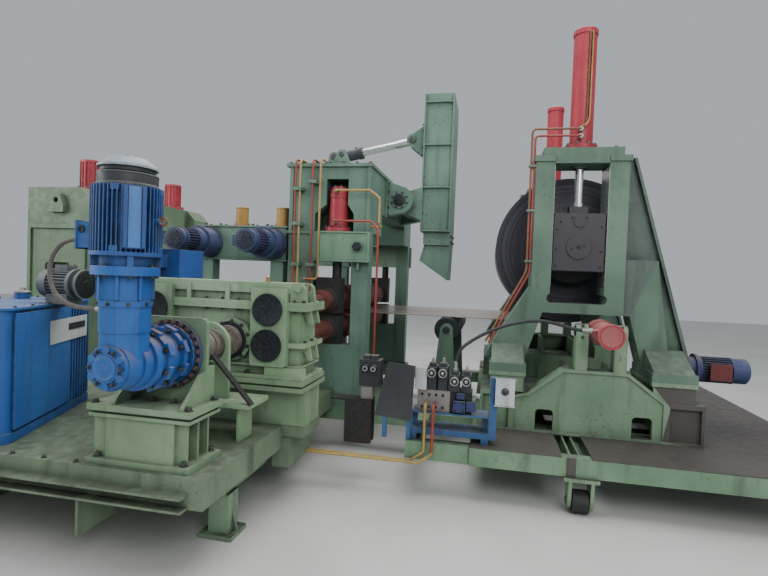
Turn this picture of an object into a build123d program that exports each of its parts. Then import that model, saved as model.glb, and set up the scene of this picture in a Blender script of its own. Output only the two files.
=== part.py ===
from build123d import *
import math
import os

# Entry section of a spiral pipe mill: a coil between two lifting cone heads, the strip that
# leaves it to the left, a pinch roll stand with a coil opening arm, its gear case and drive,
# a leveller, a second roll stand and the oil unit, all on one steel bridge.
# X runs along the strip (the coil at the right), Y across it, Z up from the floor.
# Millimetres. The origin is the middle of the bottom of the whole machine.

# The line
line_y = 785.0
strip_width = 1200.0
strip_thick = 10.0
pass_z = 1140.0
running_gap = 5.0
seat_gap = 0.3
pin_gap = 0.5
bush_gap = 0.1

# Bridge
bridge_x = (1010.0, 3480.0)
bridge_half = 1850.0
beam_high = 120.0
beam_wide = 90.0
beam_web = 18.0
deck_z = 363.0
deck_plate = 8.0
deck_slot = (1600.0, 1790.0)
bridge_roller_r = 75.0
bridge_roller_wide = 105.0
bridge_roller_x = 1725.0
bridge_pin_r = 22.0
yoke_plate = 22.0
yoke_deep = 150.0
spine_half = 1100.0
spine_wide = 140.0
spine_left = -3480.0
foot_x = (-3200.0, -900.0)
foot_plate = 25.0
outrigger_x = (-3100.0, -2000.0, -330.0)
outrigger_end = line_y - 2750.0
valve_rest_y = (line_y - 1830.0, line_y - 1740.0)

# Cone heads
head_x = 1760.0
head_out = 1100.0
head_deep = 300.0
head_top = 2480.0
head_foot = 871.0
window_half = 200.0
window_sill = 1330.0
window_head = 2420.0
window_round = 60.0
sill_relief = (222.0, 72.0, 34.0)
column_half = 345.0
head_cap_high = 62.0
shoe_high = 65.0
shoe_left = (-641.0, -372.0)
shoe_right = (500.0, 800.0)
shoe_out = 1350.0
wedge_top = 990.0
brace_thick = 30.0
brace_flange = 110.0
brace_top = 415.0
brace_foot = 870.0
rib_right = 585.0
rib_top = 1683.0

# Slide block, cone and coil
coil_r = 625.0
bore_r = 254.0
coil_z = pass_z + strip_thick / 2 + seat_gap + coil_r
block_half = window_half - running_gap
block_low = -190.0
block_high = 265.0
block_in = 15.0
block_disc_r = 92.0
block_stud = (195.0, 40.0)
cone_reach = 110.0
cone_slope = 0.6
spindle_r = 70.0
lift_rod_r = 32.0
clevis_high = 62.0
lift_cylinder_r = 88.0
lift_cylinder_top = 3497.0
lift_flange_r = 125.0
lift_flange_high = 40.0

# Cone head bases
base_out = 1350.0
base_in = 750.0
base_left = -700.0
base_right = 853.0
base_shoulder = 660.0
base_wall_top = 855.0
base_wall = 40.0
base_rim = 24.0
base_rim_deep = 120.0
cut_high = 178.0
cut_round = 30.0
traverse_x = 150.0
traverse_z = 1140.0
traverse_r = 78.0
traverse_rod_r = 30.0
traverse_bore_r = 45.0
traverse_end = 1650.0
traverse_back = 1150.0
trunnion_r = 90.0
trunnion_pin_r = 32.0
post_wide = 86.0
post_deep = 110.0
base_motor_out = 760.0
base_motor_z = 840.0

# Pinch roll stand
stand_x = (-634.0, 88.0)
stand_out = 1100.0
stand_top = 2400.0
stand_box_low = 1850.0
stand_box_deep = 470.0
column_deep = 140.0
window_x = (-400.0, -55.0)
crossbeam_z = (1595.0, 1850.0)
roll_x = -262.0
roll_r = 122.0
roll_neck_r = 68.0
chock_half = 110.0
screw_x = -203.0
screw_r = 40.0
screw_in = 60.0
screwdown_r = 82.0
screwdown_flange_r = 118.0
stand_sill = 886.0

# Coil opening arm
arm_x = (400.0, 690.0)
arm_half = 290.0
arm_z = (stand_top - 460.0, stand_top + 880.0)
arm_plate = 14.0
arm_panel = 26.0
pivot_x = 219.0
pivot_z = stand_top - 181.0
pivot_r = 62.0
pivot_nose = 128.0
pivot_plate = 120.0
cylinder_pin = (-572.0, stand_top + 320.0)
rod_pin = (254.0, stand_top + 494.0)
pin_r = 26.0
cylinder_eye = 132.0
rod_eye = 92.0
fork_plate = 36.0
eye_play = 9.0
eye_side = 4.0
arm_barrel_r = 58.0
arm_rod_r = 38.0
arm_barrel_end = 300.0

# Drive and gear case
drive_x = -522.0
drive_z = 1045.0
case_x = (-1430.0, -38.0)
case_y = (line_y - 2250.0, line_y - 1890.0)
case_z = (806.0, 1420.0)
case_split = 1272.0
case_low_split = 1030.0
case_flange = 28.0
case_inset = 38.0
left_output_x = -1081.0
left_output_z = 1232.0
cover_r = 105.0
cover_x = roll_x - 12.0
cover_z = (1249.0, 1021.0)
platform_x = (-3480.0, -180.0)
platform_y = (line_y - 3195.0, line_y - 1105.0)
platform_top = 500.0
platform_low = 350.0
platform_bays = 5
platform_foot_x = -130.0

# Second roll stand and strip support
left_x = (-3400.0, -2690.0)
left_top = 2230.0
left_screw_x = -3000.0
left_screw_out = 700.0
support_x = 730.0
support_r = 115.0

# Derived places
upper_roll_z = pass_z + strip_thick / 2 + seat_gap + roll_r
lower_roll_z = pass_z - strip_thick / 2 - seat_gap - roll_r
support_z = pass_z - strip_thick / 2 - seat_gap - support_r
beam_z = (deck_z - beam_high, deck_z)
cap_top = head_top + head_cap_high
spindle_start = case_y[1] + 60
case_wall = case_y[0] + case_inset


def across(side, near, far):
    ends = (line_y + side * near, line_y + side * far)
    return (min(ends), max(ends))


def block(x, y, z, mode=Mode.ADD):
    with Locations(((x[0] + x[1]) / 2, (y[0] + y[1]) / 2, (z[0] + z[1]) / 2)):
        Box(x[1] - x[0], y[1] - y[0], z[1] - z[0], mode=mode)


def round_x(x, y, z, radius, mode=Mode.ADD):
    with Locations(Location(((x[0] + x[1]) / 2, y, z), (0, 90, 0))):
        Cylinder(radius, x[1] - x[0], mode=mode)


def round_y(x, y, z, radius, mode=Mode.ADD):
    with Locations(Location((x, (y[0] + y[1]) / 2, z), (90, 0, 0))):
        Cylinder(radius, y[1] - y[0], mode=mode)


def round_z(x, y, z, radius, mode=Mode.ADD):
    with Locations(Location((x, y, (z[0] + z[1]) / 2))):
        Cylinder(radius, z[1] - z[0], mode=mode)


def outline_y(points, y, mode=Mode.ADD):
    with BuildSketch(Plane(origin=(0, y[0], 0), x_dir=(1, 0, 0), z_dir=(0, -1, 0))) as profile:
        with BuildLine():
            Polyline(*points, close=True)
        make_face()
    extrude(profile.sketch, amount=-(y[1] - y[0]), mode=mode)


def outline_x(points, x, mode=Mode.ADD):
    with BuildSketch(Plane(origin=(x[0], 0, 0), x_dir=(0, 1, 0), z_dir=(1, 0, 0))) as profile:
        with BuildLine():
            Polyline(*points, close=True)
        make_face()
    extrude(profile.sketch, amount=x[1] - x[0], mode=mode)


def rounded_y(x, y, z, radius, mode=Mode.ADD):
    middle = ((x[0] + x[1]) / 2, y[0], (z[0] + z[1]) / 2)
    with BuildSketch(Plane(origin=middle, x_dir=(1, 0, 0), z_dir=(0, -1, 0))) as profile:
        RectangleRounded(x[1] - x[0], z[1] - z[0], radius)
    extrude(profile.sketch, amount=-(y[1] - y[0]), mode=mode)


def turned_x(steps, start, y, z):
    for length, radius in steps:
        round_x((start, start + length), y, z, radius)
        start = start + length


def fins(place, radius, count, high, thick, length):
    with Locations(place):
        with PolarLocations(radius + high / 2 - 2, count):
            Box(high + 4, thick, length)


def pipe(points, radius, bend):
    with BuildLine() as route:
        FilletPolyline(*points, radius=bend)
    with BuildSketch(Plane(route.line @ 0, z_dir=route.line % 0)) as section:
        Circle(radius)
    sweep(section.sketch, path=route.line)


def save(builder, name):
    builder.part.label = name
    export_step(builder.part, f"parts/{name}.step")


os.makedirs("parts", exist_ok=True)
sides = (("front", -1), ("rear", 1))

# Bridge: two channel edge beams, two spine beams that run on under the stands, cross beams
with BuildPart() as bridge_frame:
    for name, side in sides:
        block(bridge_x, across(side, bridge_half, bridge_half - beam_wide), beam_z)
        block((bridge_x[0] + beam_web, bridge_x[1] - beam_web),
              across(side, bridge_half - beam_web, bridge_half - beam_wide - 1),
              (beam_z[0] + beam_web, beam_z[1] - beam_web), mode=Mode.SUBTRACT)
        block((spine_left, bridge_x[1]), across(side, spine_half, spine_half - spine_wide), beam_z)
        for x in (deck_slot[0] + 55, deck_slot[0] + 115):
            block((x, x + 14), across(side, bridge_half - beam_web / 2, spine_half - 5),
                  (beam_z[0] + 20, deck_z - 4))
    outer = bridge_half - beam_web / 2
    cross_x = [bridge_x[0] + beam_wide / 2, deck_slot[0] - 60, deck_slot[1] + 70, 2550.0,
               bridge_x[1] - beam_wide / 2]
    for x in cross_x:
        block((x - beam_wide / 2, x + beam_wide / 2), (line_y - outer, line_y + outer),
              (beam_z[0] + 2, beam_z[1] - 2))
    inner = spine_half - spine_wide / 2
    for x in (left_x[0] + beam_wide, left_x[1] - beam_wide, -1560.0, -500.0, 40.0, support_x):
        block((x - beam_wide / 2, x + beam_wide / 2), (line_y - inner, line_y + inner), beam_z)
    for x in outrigger_x:
        block((x - beam_wide / 2, x + beam_wide / 2), (outrigger_end, line_y - inner),
              (beam_z[0], platform_low))
    block((570, 660), (valve_rest_y[0], line_y - inner), beam_z)
    block((570, bridge_x[0] + 10), valve_rest_y, beam_z)
save(bridge_frame, "bridge_frame")

with BuildPart() as bridge_feet:
    places = [(x, line_y + side * (spine_half - spine_wide / 2)) for x in foot_x for name, side in sides]
    places += [(x, outrigger_end + 90) for x in outrigger_x]
    for x, y in places:
        block((x - 100, x + 100), (y - 90, y + 90), (0, foot_plate))
        block((x - 60, x + 60), (y - 55, y + 55), (foot_plate, beam_z[0]))
        for hand in (-1, 1):
            outline_y([(x + hand * 60, foot_plate), (x + hand * 92, foot_plate), (x + hand * 60, 140)],
                      (y - 7, y + 7))
save(bridge_feet, "bridge_feet")

with BuildPart() as deck_plates:
    plate_z = (deck_z, deck_z + deck_plate)
    for name, side in sides:
        edge = across(side, bridge_half, base_out)
        block((bridge_x[0], deck_slot[0]), edge, plate_z)
        block((deck_slot[1], bridge_x[1]), edge, plate_z)
    block((head_x + base_right + 4, bridge_x[1]), across(1, -base_out + 2, base_out - 2), plate_z)
save(deck_plates, "deck_plates")

with BuildPart() as roller_yokes:
    for name, side in sides:
        middle = line_y + side * (bridge_half - beam_wide / 2)
        reach = (middle - yoke_deep / 2, middle + yoke_deep / 2)
        inner = bridge_roller_wide / 2 + running_gap
        outer = inner + yoke_plate
        block((bridge_roller_x - outer - 30, bridge_roller_x + outer + 30), reach,
              (beam_z[0] - yoke_plate, beam_z[0]))
        for hand in (-1, 1):
            ends = sorted((bridge_roller_x + hand * inner, bridge_roller_x + hand * outer))
            outline_x([(reach[0], beam_z[0] - yoke_plate), (reach[0] + 22, bridge_roller_r),
                       (reach[1] - 22, bridge_roller_r), (reach[1], beam_z[0] - yoke_plate)], ends)
            round_x(ends, middle, bridge_roller_r, yoke_deep / 2 - 22)
            round_x((ends[0] - 5, ends[1] + 5), middle, bridge_roller_r, bridge_pin_r + bush_gap,
                    mode=Mode.SUBTRACT)
save(roller_yokes, "roller_yokes")

for name, side in sides:
    with BuildPart() as bridge_roller:
        middle = line_y + side * (bridge_half - beam_wide / 2)
        half = bridge_roller_wide / 2
        round_x((bridge_roller_x - half, bridge_roller_x + half), middle, bridge_roller_r,
                bridge_roller_r)
        chamfer(bridge_roller.edges().filter_by(GeomType.CIRCLE), 6)
        for hand in (-1, 1):
            ends = sorted((bridge_roller_x + hand * half, bridge_roller_x + hand * (half - 8)))
            round_x(ends, middle, bridge_roller_r, 54.0, mode=Mode.SUBTRACT)
            round_x(ends, middle, bridge_roller_r, 36.0)
        pin = half + running_gap + yoke_plate
        round_x((bridge_roller_x - pin, bridge_roller_x + pin), middle, bridge_roller_r, bridge_pin_r)
    save(bridge_roller, f"bridge_roller_{name}")

# Bases of the cone heads: a rimmed trapezoid wall towards the outside, end boxes, two slide
# ways and the trunnion posts of the traverse cylinders
wall_points = [
    (head_x - 467, deck_z), (head_x - 467, base_shoulder - 30), (head_x - 354, base_shoulder),
    (head_x - 113, base_wall_top), (head_x + 343, base_wall_top),
    (head_x + 607, base_shoulder), (head_x + 607, deck_z),
]
post_middle = trunnion_r + seat_gap + post_wide / 2
with BuildPart() as head_bases:
    for name, side in sides:
        outline_y(wall_points, across(side, base_out - 12, base_out - 12 - base_wall))
        rim_y = across(side, base_out, base_out - base_rim_deep)
        plane = Plane(origin=(0, rim_y[0], 0), x_dir=(1, 0, 0), z_dir=(0, -1, 0))
        with BuildSketch(plane) as rim:
            with BuildLine():
                Polyline(*wall_points, close=True)
            make_face()
            offset(amount=-base_rim, mode=Mode.REPLACE)
        with BuildSketch(plane) as wall:
            with BuildLine():
                Polyline(*wall_points, close=True)
            make_face()
            add(rim.sketch_local, mode=Mode.SUBTRACT)
        extrude(wall.sketch, amount=-base_rim_deep)
        for x in ((-291.0, -163.0), (381.0, 517.0)):
            cut = across(side, base_out + 5, base_out - 60)
            ends = (head_x + x[0], head_x + x[1])
            rounded_y(ends, cut, (deck_z + base_rim, deck_z + cut_high), cut_round, mode=Mode.SUBTRACT)
            block(ends, cut, (deck_z + base_rim, deck_z + 90), mode=Mode.SUBTRACT)
        for x in ((base_left, -467.0), (607.0, base_right)):
            block((head_x + x[0], head_x + x[1]), across(side, base_out, base_in), (deck_z, base_shoulder))
            block((head_x + x[0] + 20, head_x + x[1] - 20), across(side, base_out + 1, base_out - 30),
                  (deck_z + 20, base_shoulder - 34), mode=Mode.SUBTRACT)
        way_z = (base_shoulder, head_foot - shoe_high - seat_gap)
        for shoe in (shoe_left, shoe_right):
            block((head_x + shoe[0] + 12, head_x + shoe[1] - 12), across(side, base_out - 10, base_in),
                  (way_z[0], way_z[1] - 30))
            block((head_x + shoe[0], head_x + shoe[1]), across(side, base_out, base_in),
                  (way_z[1] - 30, way_z[1]))
        block((head_x - 467, head_x + 607), across(side, base_in + 40, base_in), (deck_z, base_shoulder))
        block((head_x - 467, head_x + 607), across(side, base_out - base_wall, base_in + 40),
              (base_shoulder - 60, base_shoulder))
        for x in (-60.0, 270.0):
            block((head_x + x, head_x + x + 24), across(side, base_out - 20, base_in + 20),
                  (base_shoulder - 5, base_wall_top - 10))
        for hand in (-1, 1):
            x = head_x + traverse_x + hand * post_middle
            y = line_y + side * (base_out - post_deep / 2)
            reach = across(side, base_out, base_out - post_deep)
            block((x - post_wide / 2, x + post_wide / 2), reach, (base_wall_top - 5, traverse_z))
            round_x((x - post_wide / 2, x + post_wide / 2), y, traverse_z, post_deep / 2)
            round_x((x - post_wide, x + post_wide), y, traverse_z, trunnion_pin_r + bush_gap,
                    mode=Mode.SUBTRACT)
    block((head_x + base_right - 25, head_x + base_right),
          across(-1, base_motor_out + 120, base_motor_out - 130), (520, base_motor_z + 120))
save(head_bases, "head_bases")

with BuildPart() as traverse_cylinders:
    for name, side in sides:
        x = head_x + traverse_x
        y = line_y + side * (base_out - post_deep / 2)
        round_y(x, across(side, traverse_end, traverse_back), traverse_z, traverse_r)
        round_y(x, across(side, traverse_end + 6, traverse_end - 40), traverse_z, traverse_r + 8)
        round_y(x, across(side, traverse_end + 7, traverse_end), traverse_z, traverse_r - 4,
                mode=Mode.SUBTRACT)
        round_y(x, (y - 42, y + 42), traverse_z, trunnion_r)
        round_x((x - trunnion_r - 60, x + trunnion_r + 60), y, traverse_z, trunnion_pin_r)
        round_x((x - traverse_r - 32, x), line_y + side * (traverse_end - 95), traverse_z + 25, 17.0)
        round_y(x, across(side, traverse_end - 60, traverse_back + 40), traverse_z, traverse_bore_r,
                mode=Mode.SUBTRACT)
        round_y(x, across(side, traverse_end - 60, traverse_back - 1), traverse_z,
                traverse_rod_r + bush_gap, mode=Mode.SUBTRACT)
save(traverse_cylinders, "traverse_cylinders")

# Cone head frames: two columns round a window, a spread left foot and a braced right side
for name, side in sides:
    middle = head_out - head_deep / 2
    y = line_y + side * middle
    with BuildPart() as head_frame:
        body = across(side, head_out, head_out - head_deep)
        outline_y([(head_x - column_half, head_top), (head_x + column_half, head_top),
                   (head_x + column_half, 1250), (head_x - 250, 1250), (head_x - 370, head_foot),
                   (head_x - 685, head_foot), (head_x - 640, 960), (head_x - column_half, 1450)], body)
        outline_y([(head_x + column_half, 1250), (head_x + column_half, rib_top),
                   (head_x + rib_right, rib_top), (head_x + 700, head_foot),
                   (head_x + 500, head_foot), (head_x + 400, 1250)],
                  across(side, head_out - 40, head_out - head_deep + 40))
        outline_y([(head_x + column_half, head_top), (head_x + brace_top, head_top),
                   (head_x + brace_foot, head_foot), (head_x + 560, head_foot),
                   (head_x + column_half, rib_top)],
                  across(side, middle + brace_thick / 2, middle - brace_thick / 2))
        outline_y([(head_x + brace_top - 22, head_top), (head_x + brace_top, head_top),
                   (head_x + brace_foot, head_foot), (head_x + brace_foot - 26, head_foot)],
                  across(side, middle + brace_flange / 2, middle - brace_flange / 2))
        for shoe in (shoe_left, shoe_right):
            ends = (head_x + shoe[0], head_x + shoe[1])
            block(ends, across(side, shoe_out, head_out - head_deep), (head_foot - shoe_high, head_foot))
            outline_x([(line_y + side * (shoe_out - 12), head_foot), (line_y + side * (head_out - 40), head_foot),
                       (line_y + side * (head_out - 40), wedge_top + 18), (line_y + side * head_out, wedge_top)],
                      (ends[0] + 14, ends[1] - 14))
        for hand in (-1, 1):
            edge = sorted((head_x + hand * (column_half + 14), head_x + hand * window_half))
            block(edge, across(side, head_out + 12, head_out - head_deep), (head_top - 46, head_top))
        rounded_y((head_x - window_half, head_x + window_half),
                  across(side, head_out + 15, head_out - head_deep - 5),
                  (window_sill, window_head + window_round), window_round, mode=Mode.SUBTRACT)
        rounded_y((head_x - sill_relief[0], head_x + sill_relief[0]),
                  across(side, head_out + 5, head_out - head_deep - 5),
                  (window_sill, window_sill + sill_relief[1]), sill_relief[2], mode=Mode.SUBTRACT)
        block((head_x - 290, head_x + 300), body, (window_head, cap_top))
        round_z(head_x, y, (window_head - 5, head_top), lift_rod_r + 12, mode=Mode.SUBTRACT)
        round_z(head_x, y, (head_top - 5, cap_top + 5), lift_rod_r + bush_gap, mode=Mode.SUBTRACT)
        round_z(head_x, y, (window_head - 18, window_head), lift_rod_r + 40)
        round_z(head_x, y, (window_head - 20, window_head + 5), lift_rod_r + 12, mode=Mode.SUBTRACT)
    save(head_frame, f"head_frame_{name}")

    with BuildPart() as lift_cylinder:
        round_z(head_x, y, (cap_top, cap_top + lift_flange_high), lift_flange_r)
        round_z(head_x, y, (cap_top + lift_flange_high, lift_cylinder_top), lift_cylinder_r)
        round_z(head_x, y, (lift_cylinder_top - 46, lift_cylinder_top), lift_cylinder_r + 6)
        chamfer(lift_cylinder.edges().group_by(Axis.Z)[-1], 8)
        for z in (cap_top + 95, cap_top + 150):
            round_y(head_x - 20, across(side, middle + lift_cylinder_r + 22, middle), z, 15.0)
        round_z(head_x, y, (cap_top - 5, lift_cylinder_top - 60), lift_rod_r + 12, mode=Mode.SUBTRACT)
    save(lift_cylinder, f"lift_cylinder_{name}")

    with BuildPart() as slide_block:
        block((head_x - block_half, head_x + block_half),
              across(side, head_out - block_in, head_out - head_deep + block_in),
              (coil_z + block_low, coil_z + block_high))
        face_y = line_y + side * (head_out - block_in)
        chamfer(slide_block.edges().filter_by_position(Axis.Y, face_y - 1, face_y + 1), 6)
        round_y(head_x, across(side, head_out - 3, head_out - block_in - 5), coil_z, block_disc_r)
        round_y(head_x, across(side, head_out - 7, head_out - block_in - 5), coil_z + block_stud[0],
                block_stud[1])
        for hand in (-1, 1):
            block((head_x + hand * 52 - 18, head_x + hand * 52 + 18), across(side, middle + 60, middle - 60),
                  (coil_z + block_high, coil_z + block_high + clevis_high))
        block((head_x - 45, head_x + 45), across(side, middle + 60, middle - 60),
              (coil_z + block_high, coil_z + block_high + clevis_high))
        round_y(head_x, across(side, head_out - block_in - 12, 0), coil_z, spindle_r + bush_gap,
                mode=Mode.SUBTRACT)
    save(slide_block, f"slide_block_{name}")

    with BuildPart() as lift_rod:
        round_z(head_x, y, (coil_z + block_high + clevis_high, cap_top + 420), lift_rod_r)
        round_z(head_x, y, (coil_z + block_high + clevis_high, coil_z + block_high + clevis_high + 34),
                lift_rod_r + 8)
    save(lift_rod, f"lift_rod_{name}")

    face = strip_width / 2
    with BuildPart() as cone:
        big = face + cone_reach
        small = face - cone_reach
        edge_r = bore_r - 0.6
        nose_r = edge_r - cone_slope * cone_reach
        shoulder = head_out - head_deep + block_in - running_gap
        with BuildSketch(Plane.XY):
            with BuildLine():
                Polyline(
                    (0, small + 30), (nose_r - 70, small + 30), (nose_r - 40, small), (nose_r, small),
                    (edge_r + cone_slope * cone_reach, big), (edge_r + cone_slope * cone_reach - 40, big + 25),
                    (spindle_r + 60, big + 25), (spindle_r + 30, big + 60), (spindle_r + 30, shoulder),
                    (spindle_r, shoulder), (spindle_r, head_out - block_in - 14),
                    (0, head_out - block_in - 14), close=True)
            make_face()
        revolve(axis=Axis.Y)
    turned = cone.part if side == 1 else mirror(cone.part, about=Plane.XZ)
    placed = Location((head_x, line_y, coil_z)) * turned
    placed.label = f"cone_{name}"
    export_step(placed, f"parts/cone_{name}.step")

with BuildPart() as coil:
    round_y(head_x, across(1, -strip_width / 2, strip_width / 2), coil_z, coil_r)
    round_y(head_x, across(1, -strip_width, strip_width), coil_z, bore_r, mode=Mode.SUBTRACT)
save(coil, "coil")

# Rod of the front traverse cylinder, with its eye bracket under the window sill
with BuildPart() as traverse_rod:
    x = head_x + traverse_x
    bracket = across(-1, head_out - head_deep + 40, head_out - head_deep)
    round_y(x, across(-1, traverse_back + 100, head_out - head_deep + 40), traverse_z, traverse_rod_r)
    outline_y([(x - 80, 1250), (x + 80, 1250), (x + 48, traverse_z), (x + 30, traverse_z - 48),
               (x - 30, traverse_z - 48), (x - 48, traverse_z)], bracket)
    round_y(x, across(-1, head_out - head_deep + 44, head_out - head_deep + 38), traverse_z, 44.0)
save(traverse_rod, "traverse_rod_front")

with BuildPart() as strip:
    block((spine_left, head_x), across(1, -strip_width / 2, strip_width / 2),
          (pass_z - strip_thick / 2, pass_z + strip_thick / 2))
save(strip, "strip")

# Support roller for the strip between the coil and the stand
with BuildPart() as support_roller:
    face = strip_width / 2 + 20
    round_y(support_x, across(1, -face, face), support_z, support_r)
    chamfer(support_roller.edges().filter_by(GeomType.CIRCLE), 8)
    round_y(support_x, across(1, -face - 4, face + 4), support_z, 56.0)
    round_y(support_x, across(1, -face - 72, face + 72), support_z, 30.0)
save(support_roller, "support_roller")

with BuildPart() as support_brackets:
    for name, side in sides:
        reach = across(side, strip_width / 2 + 80, strip_width / 2 + 30)
        outline_y([(support_x - 120, deck_z), (support_x + 100, deck_z), (support_x + 58, support_z),
                   (support_x - 58, support_z)], reach)
        round_y(support_x, reach, support_z, 58.0)
        block((support_x - 135, support_x + 115), across(side, strip_width / 2 + 100, strip_width / 2 + 10),
              (deck_z, deck_z + 18))
        round_y(support_x, across(side, strip_width / 2 + 90, strip_width / 2), support_z,
                30.0 + bush_gap, mode=Mode.SUBTRACT)
save(support_brackets, "support_brackets")

# Gear motor of the head base, at the right end
with BuildPart() as base_gear_motor:
    y = line_y - base_motor_out
    start = head_x + base_right
    turned_x([(24, 128.0), (86, 92.0), (18, 120.0), (26, 104.0), (216, 88.0), (18, 104.0),
              (96, 99.0), (14, 84.0)], start, y, base_motor_z)
    fins(Location((start + 262, y, base_motor_z), (0, 90, 0)), 88.0, 28, 15.0, 5.0, 216.0)
    block((start + 200, start + 330), (y - 142, y), (base_motor_z - 56, base_motor_z + 56))
    block((start + 190, start + 340), (y - 150, y - 142), (base_motor_z - 64, base_motor_z + 64))
save(base_gear_motor, "base_gear_motor")

# Pinch roll stand
opening_points = [
    (window_x[0], stand_box_low - 1), (window_x[1], stand_box_low - 1), (window_x[1], stand_top - 400),
    (-110, stand_top - 320), (-110, stand_top - 103), (-301, stand_top - 103),
    (-301, stand_top - 320), (window_x[0], stand_top - 400),
]
with BuildPart() as stand_housings:
    for name, side in sides:
        thin = across(side, stand_out, stand_out - column_deep)
        block(stand_x, thin, (deck_z, stand_top))
        block(stand_x, across(side, stand_out - column_deep, stand_out - stand_box_deep),
              (stand_box_low, stand_top))
        rounded_y(window_x, across(side, stand_out + 5, stand_out - column_deep - 5),
                  (stand_sill, stand_box_low + 60), 24.0, mode=Mode.SUBTRACT)
        outline_y(opening_points, across(side, stand_out + 5, stand_out - column_deep - 80),
                  mode=Mode.SUBTRACT)
        for x in stand_x:
            strip_x = sorted((x, x + (34 if x < 0 else -34)))
            block(strip_x, across(side, stand_out + 10, stand_out - 5), (stand_box_low, stand_top))
        block((stand_x[0] - 12, window_x[0] - 20), across(side, stand_out + 14, stand_out - column_deep),
              (stand_box_low - 22, stand_box_low))
        block((-6, 16), across(side, stand_out + 42, stand_out - 5), (crossbeam_z[0] - 66, crossbeam_z[0]))
        block((stand_x[0] - 20, stand_x[1] + 40), across(side, stand_out, stand_out - column_deep - 40),
              (deck_z, deck_z + 40))
save(stand_housings, "stand_housings")

with BuildPart() as stand_top_plate:
    block((stand_x[0] - 30, stand_x[1] + 10), across(1, -stand_out - 20, stand_out + 20),
          (stand_top, stand_top + 30))
    gap = stand_out - stand_box_deep
    block((stand_x[1] - 180, stand_x[1]), across(1, -gap, gap), (stand_top - 340, stand_top))
save(stand_top_plate, "stand_top_plate")

beam_x = (window_x[0] + 70, stand_x[1] + 17)
with BuildPart() as stand_crossbeams:
    for name, side in sides:
        block(beam_x, across(side, stand_out + 50, stand_out), crossbeam_z)
        for z in (crossbeam_z[0], crossbeam_z[1] - 14):
            block(beam_x, across(side, stand_out + 60, stand_out + 40), (z, z + 14))
        block((beam_x[1] - 22, beam_x[1]), across(side, stand_out + 60, stand_out + 40), crossbeam_z)
        round_y(1.0, across(side, stand_out + 64, stand_out + 45), crossbeam_z[0] + 130, 46.0)
        round_y(1.0, across(side, stand_out + 92, stand_out + 60), crossbeam_z[0] + 130, 33.0)
        block(window_x, across(side, stand_out, stand_out - column_deep), crossbeam_z)
        round_z(screw_x, line_y + side * (stand_out - 60), (crossbeam_z[0] - 5, crossbeam_z[0] + 100),
                screw_r + running_gap, mode=Mode.SUBTRACT)
save(stand_crossbeams, "stand_crossbeams")

with BuildPart() as screwdown_cylinders:
    for name, side in sides:
        y = line_y + side * (stand_out - 60)
        round_z(screw_x, y, (crossbeam_z[1], crossbeam_z[1] + 34), screwdown_flange_r)
        round_z(screw_x, y, (crossbeam_z[1] + 34, crossbeam_z[1] + 52), screwdown_r + 12)
        round_z(screw_x, y, (crossbeam_z[1] + 52, stand_top - 190), screwdown_r)
        round_z(screw_x, y, (stand_top - 262, stand_top - 226), screwdown_r + 3)
        round_z(screw_x, y, (stand_top - 190, stand_top - 168), screwdown_r - 12)
save(screwdown_cylinders, "screwdown_cylinders")

chock_y = (stand_out, stand_out - column_deep)
neck = stand_out + 60
with BuildPart() as upper_chocks:
    for name, side in sides:
        block((roll_x - chock_half, roll_x + chock_half), across(side, *chock_y),
              (upper_roll_z - 115, upper_roll_z + 190))
        round_y(roll_x, across(side, stand_out + 16, stand_out - 5), upper_roll_z, 106.0)
        round_z(screw_x, line_y + side * (stand_out - 60),
                (upper_roll_z + 190, crossbeam_z[0] + screw_in), screw_r)
        round_y(roll_x, across(side, stand_out + 20, 0), upper_roll_z, roll_neck_r + bush_gap,
                mode=Mode.SUBTRACT)
save(upper_chocks, "upper_chocks")

with BuildPart() as lower_chocks:
    for name, side in sides:
        block((roll_x - chock_half, roll_x + chock_half), across(side, *chock_y),
              (stand_sill, lower_roll_z + 115))
        round_y(roll_x, across(side, stand_out + 16, stand_out - 5), lower_roll_z, 106.0)
        round_y(roll_x, across(side, stand_out + 20, 0), lower_roll_z, roll_neck_r + bush_gap,
                mode=Mode.SUBTRACT)
save(lower_chocks, "lower_chocks")

for name, z in (("upper_roll", upper_roll_z), ("lower_roll", lower_roll_z)):
    with BuildPart() as roll:
        round_y(roll_x, across(1, -strip_width / 2 - 60, strip_width / 2 + 60), z, roll_r)
        chamfer(roll.edges().filter_by(GeomType.CIRCLE), 10)
        round_y(roll_x, (line_y - neck, line_y + neck), z, roll_neck_r)
        round_y(roll_x, (spindle_start, line_y - neck), z, 48.0)
        for near, far, radius in ((0, 100, 80.0), (100, 132, 66.0), (132, 158, 88.0),
                                  (512, 538, 88.0), (538, 570, 66.0), (570, 670, 80.0)):
            round_y(roll_x, (spindle_start + near, spindle_start + far), z, radius)
    save(roll, name)

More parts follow.
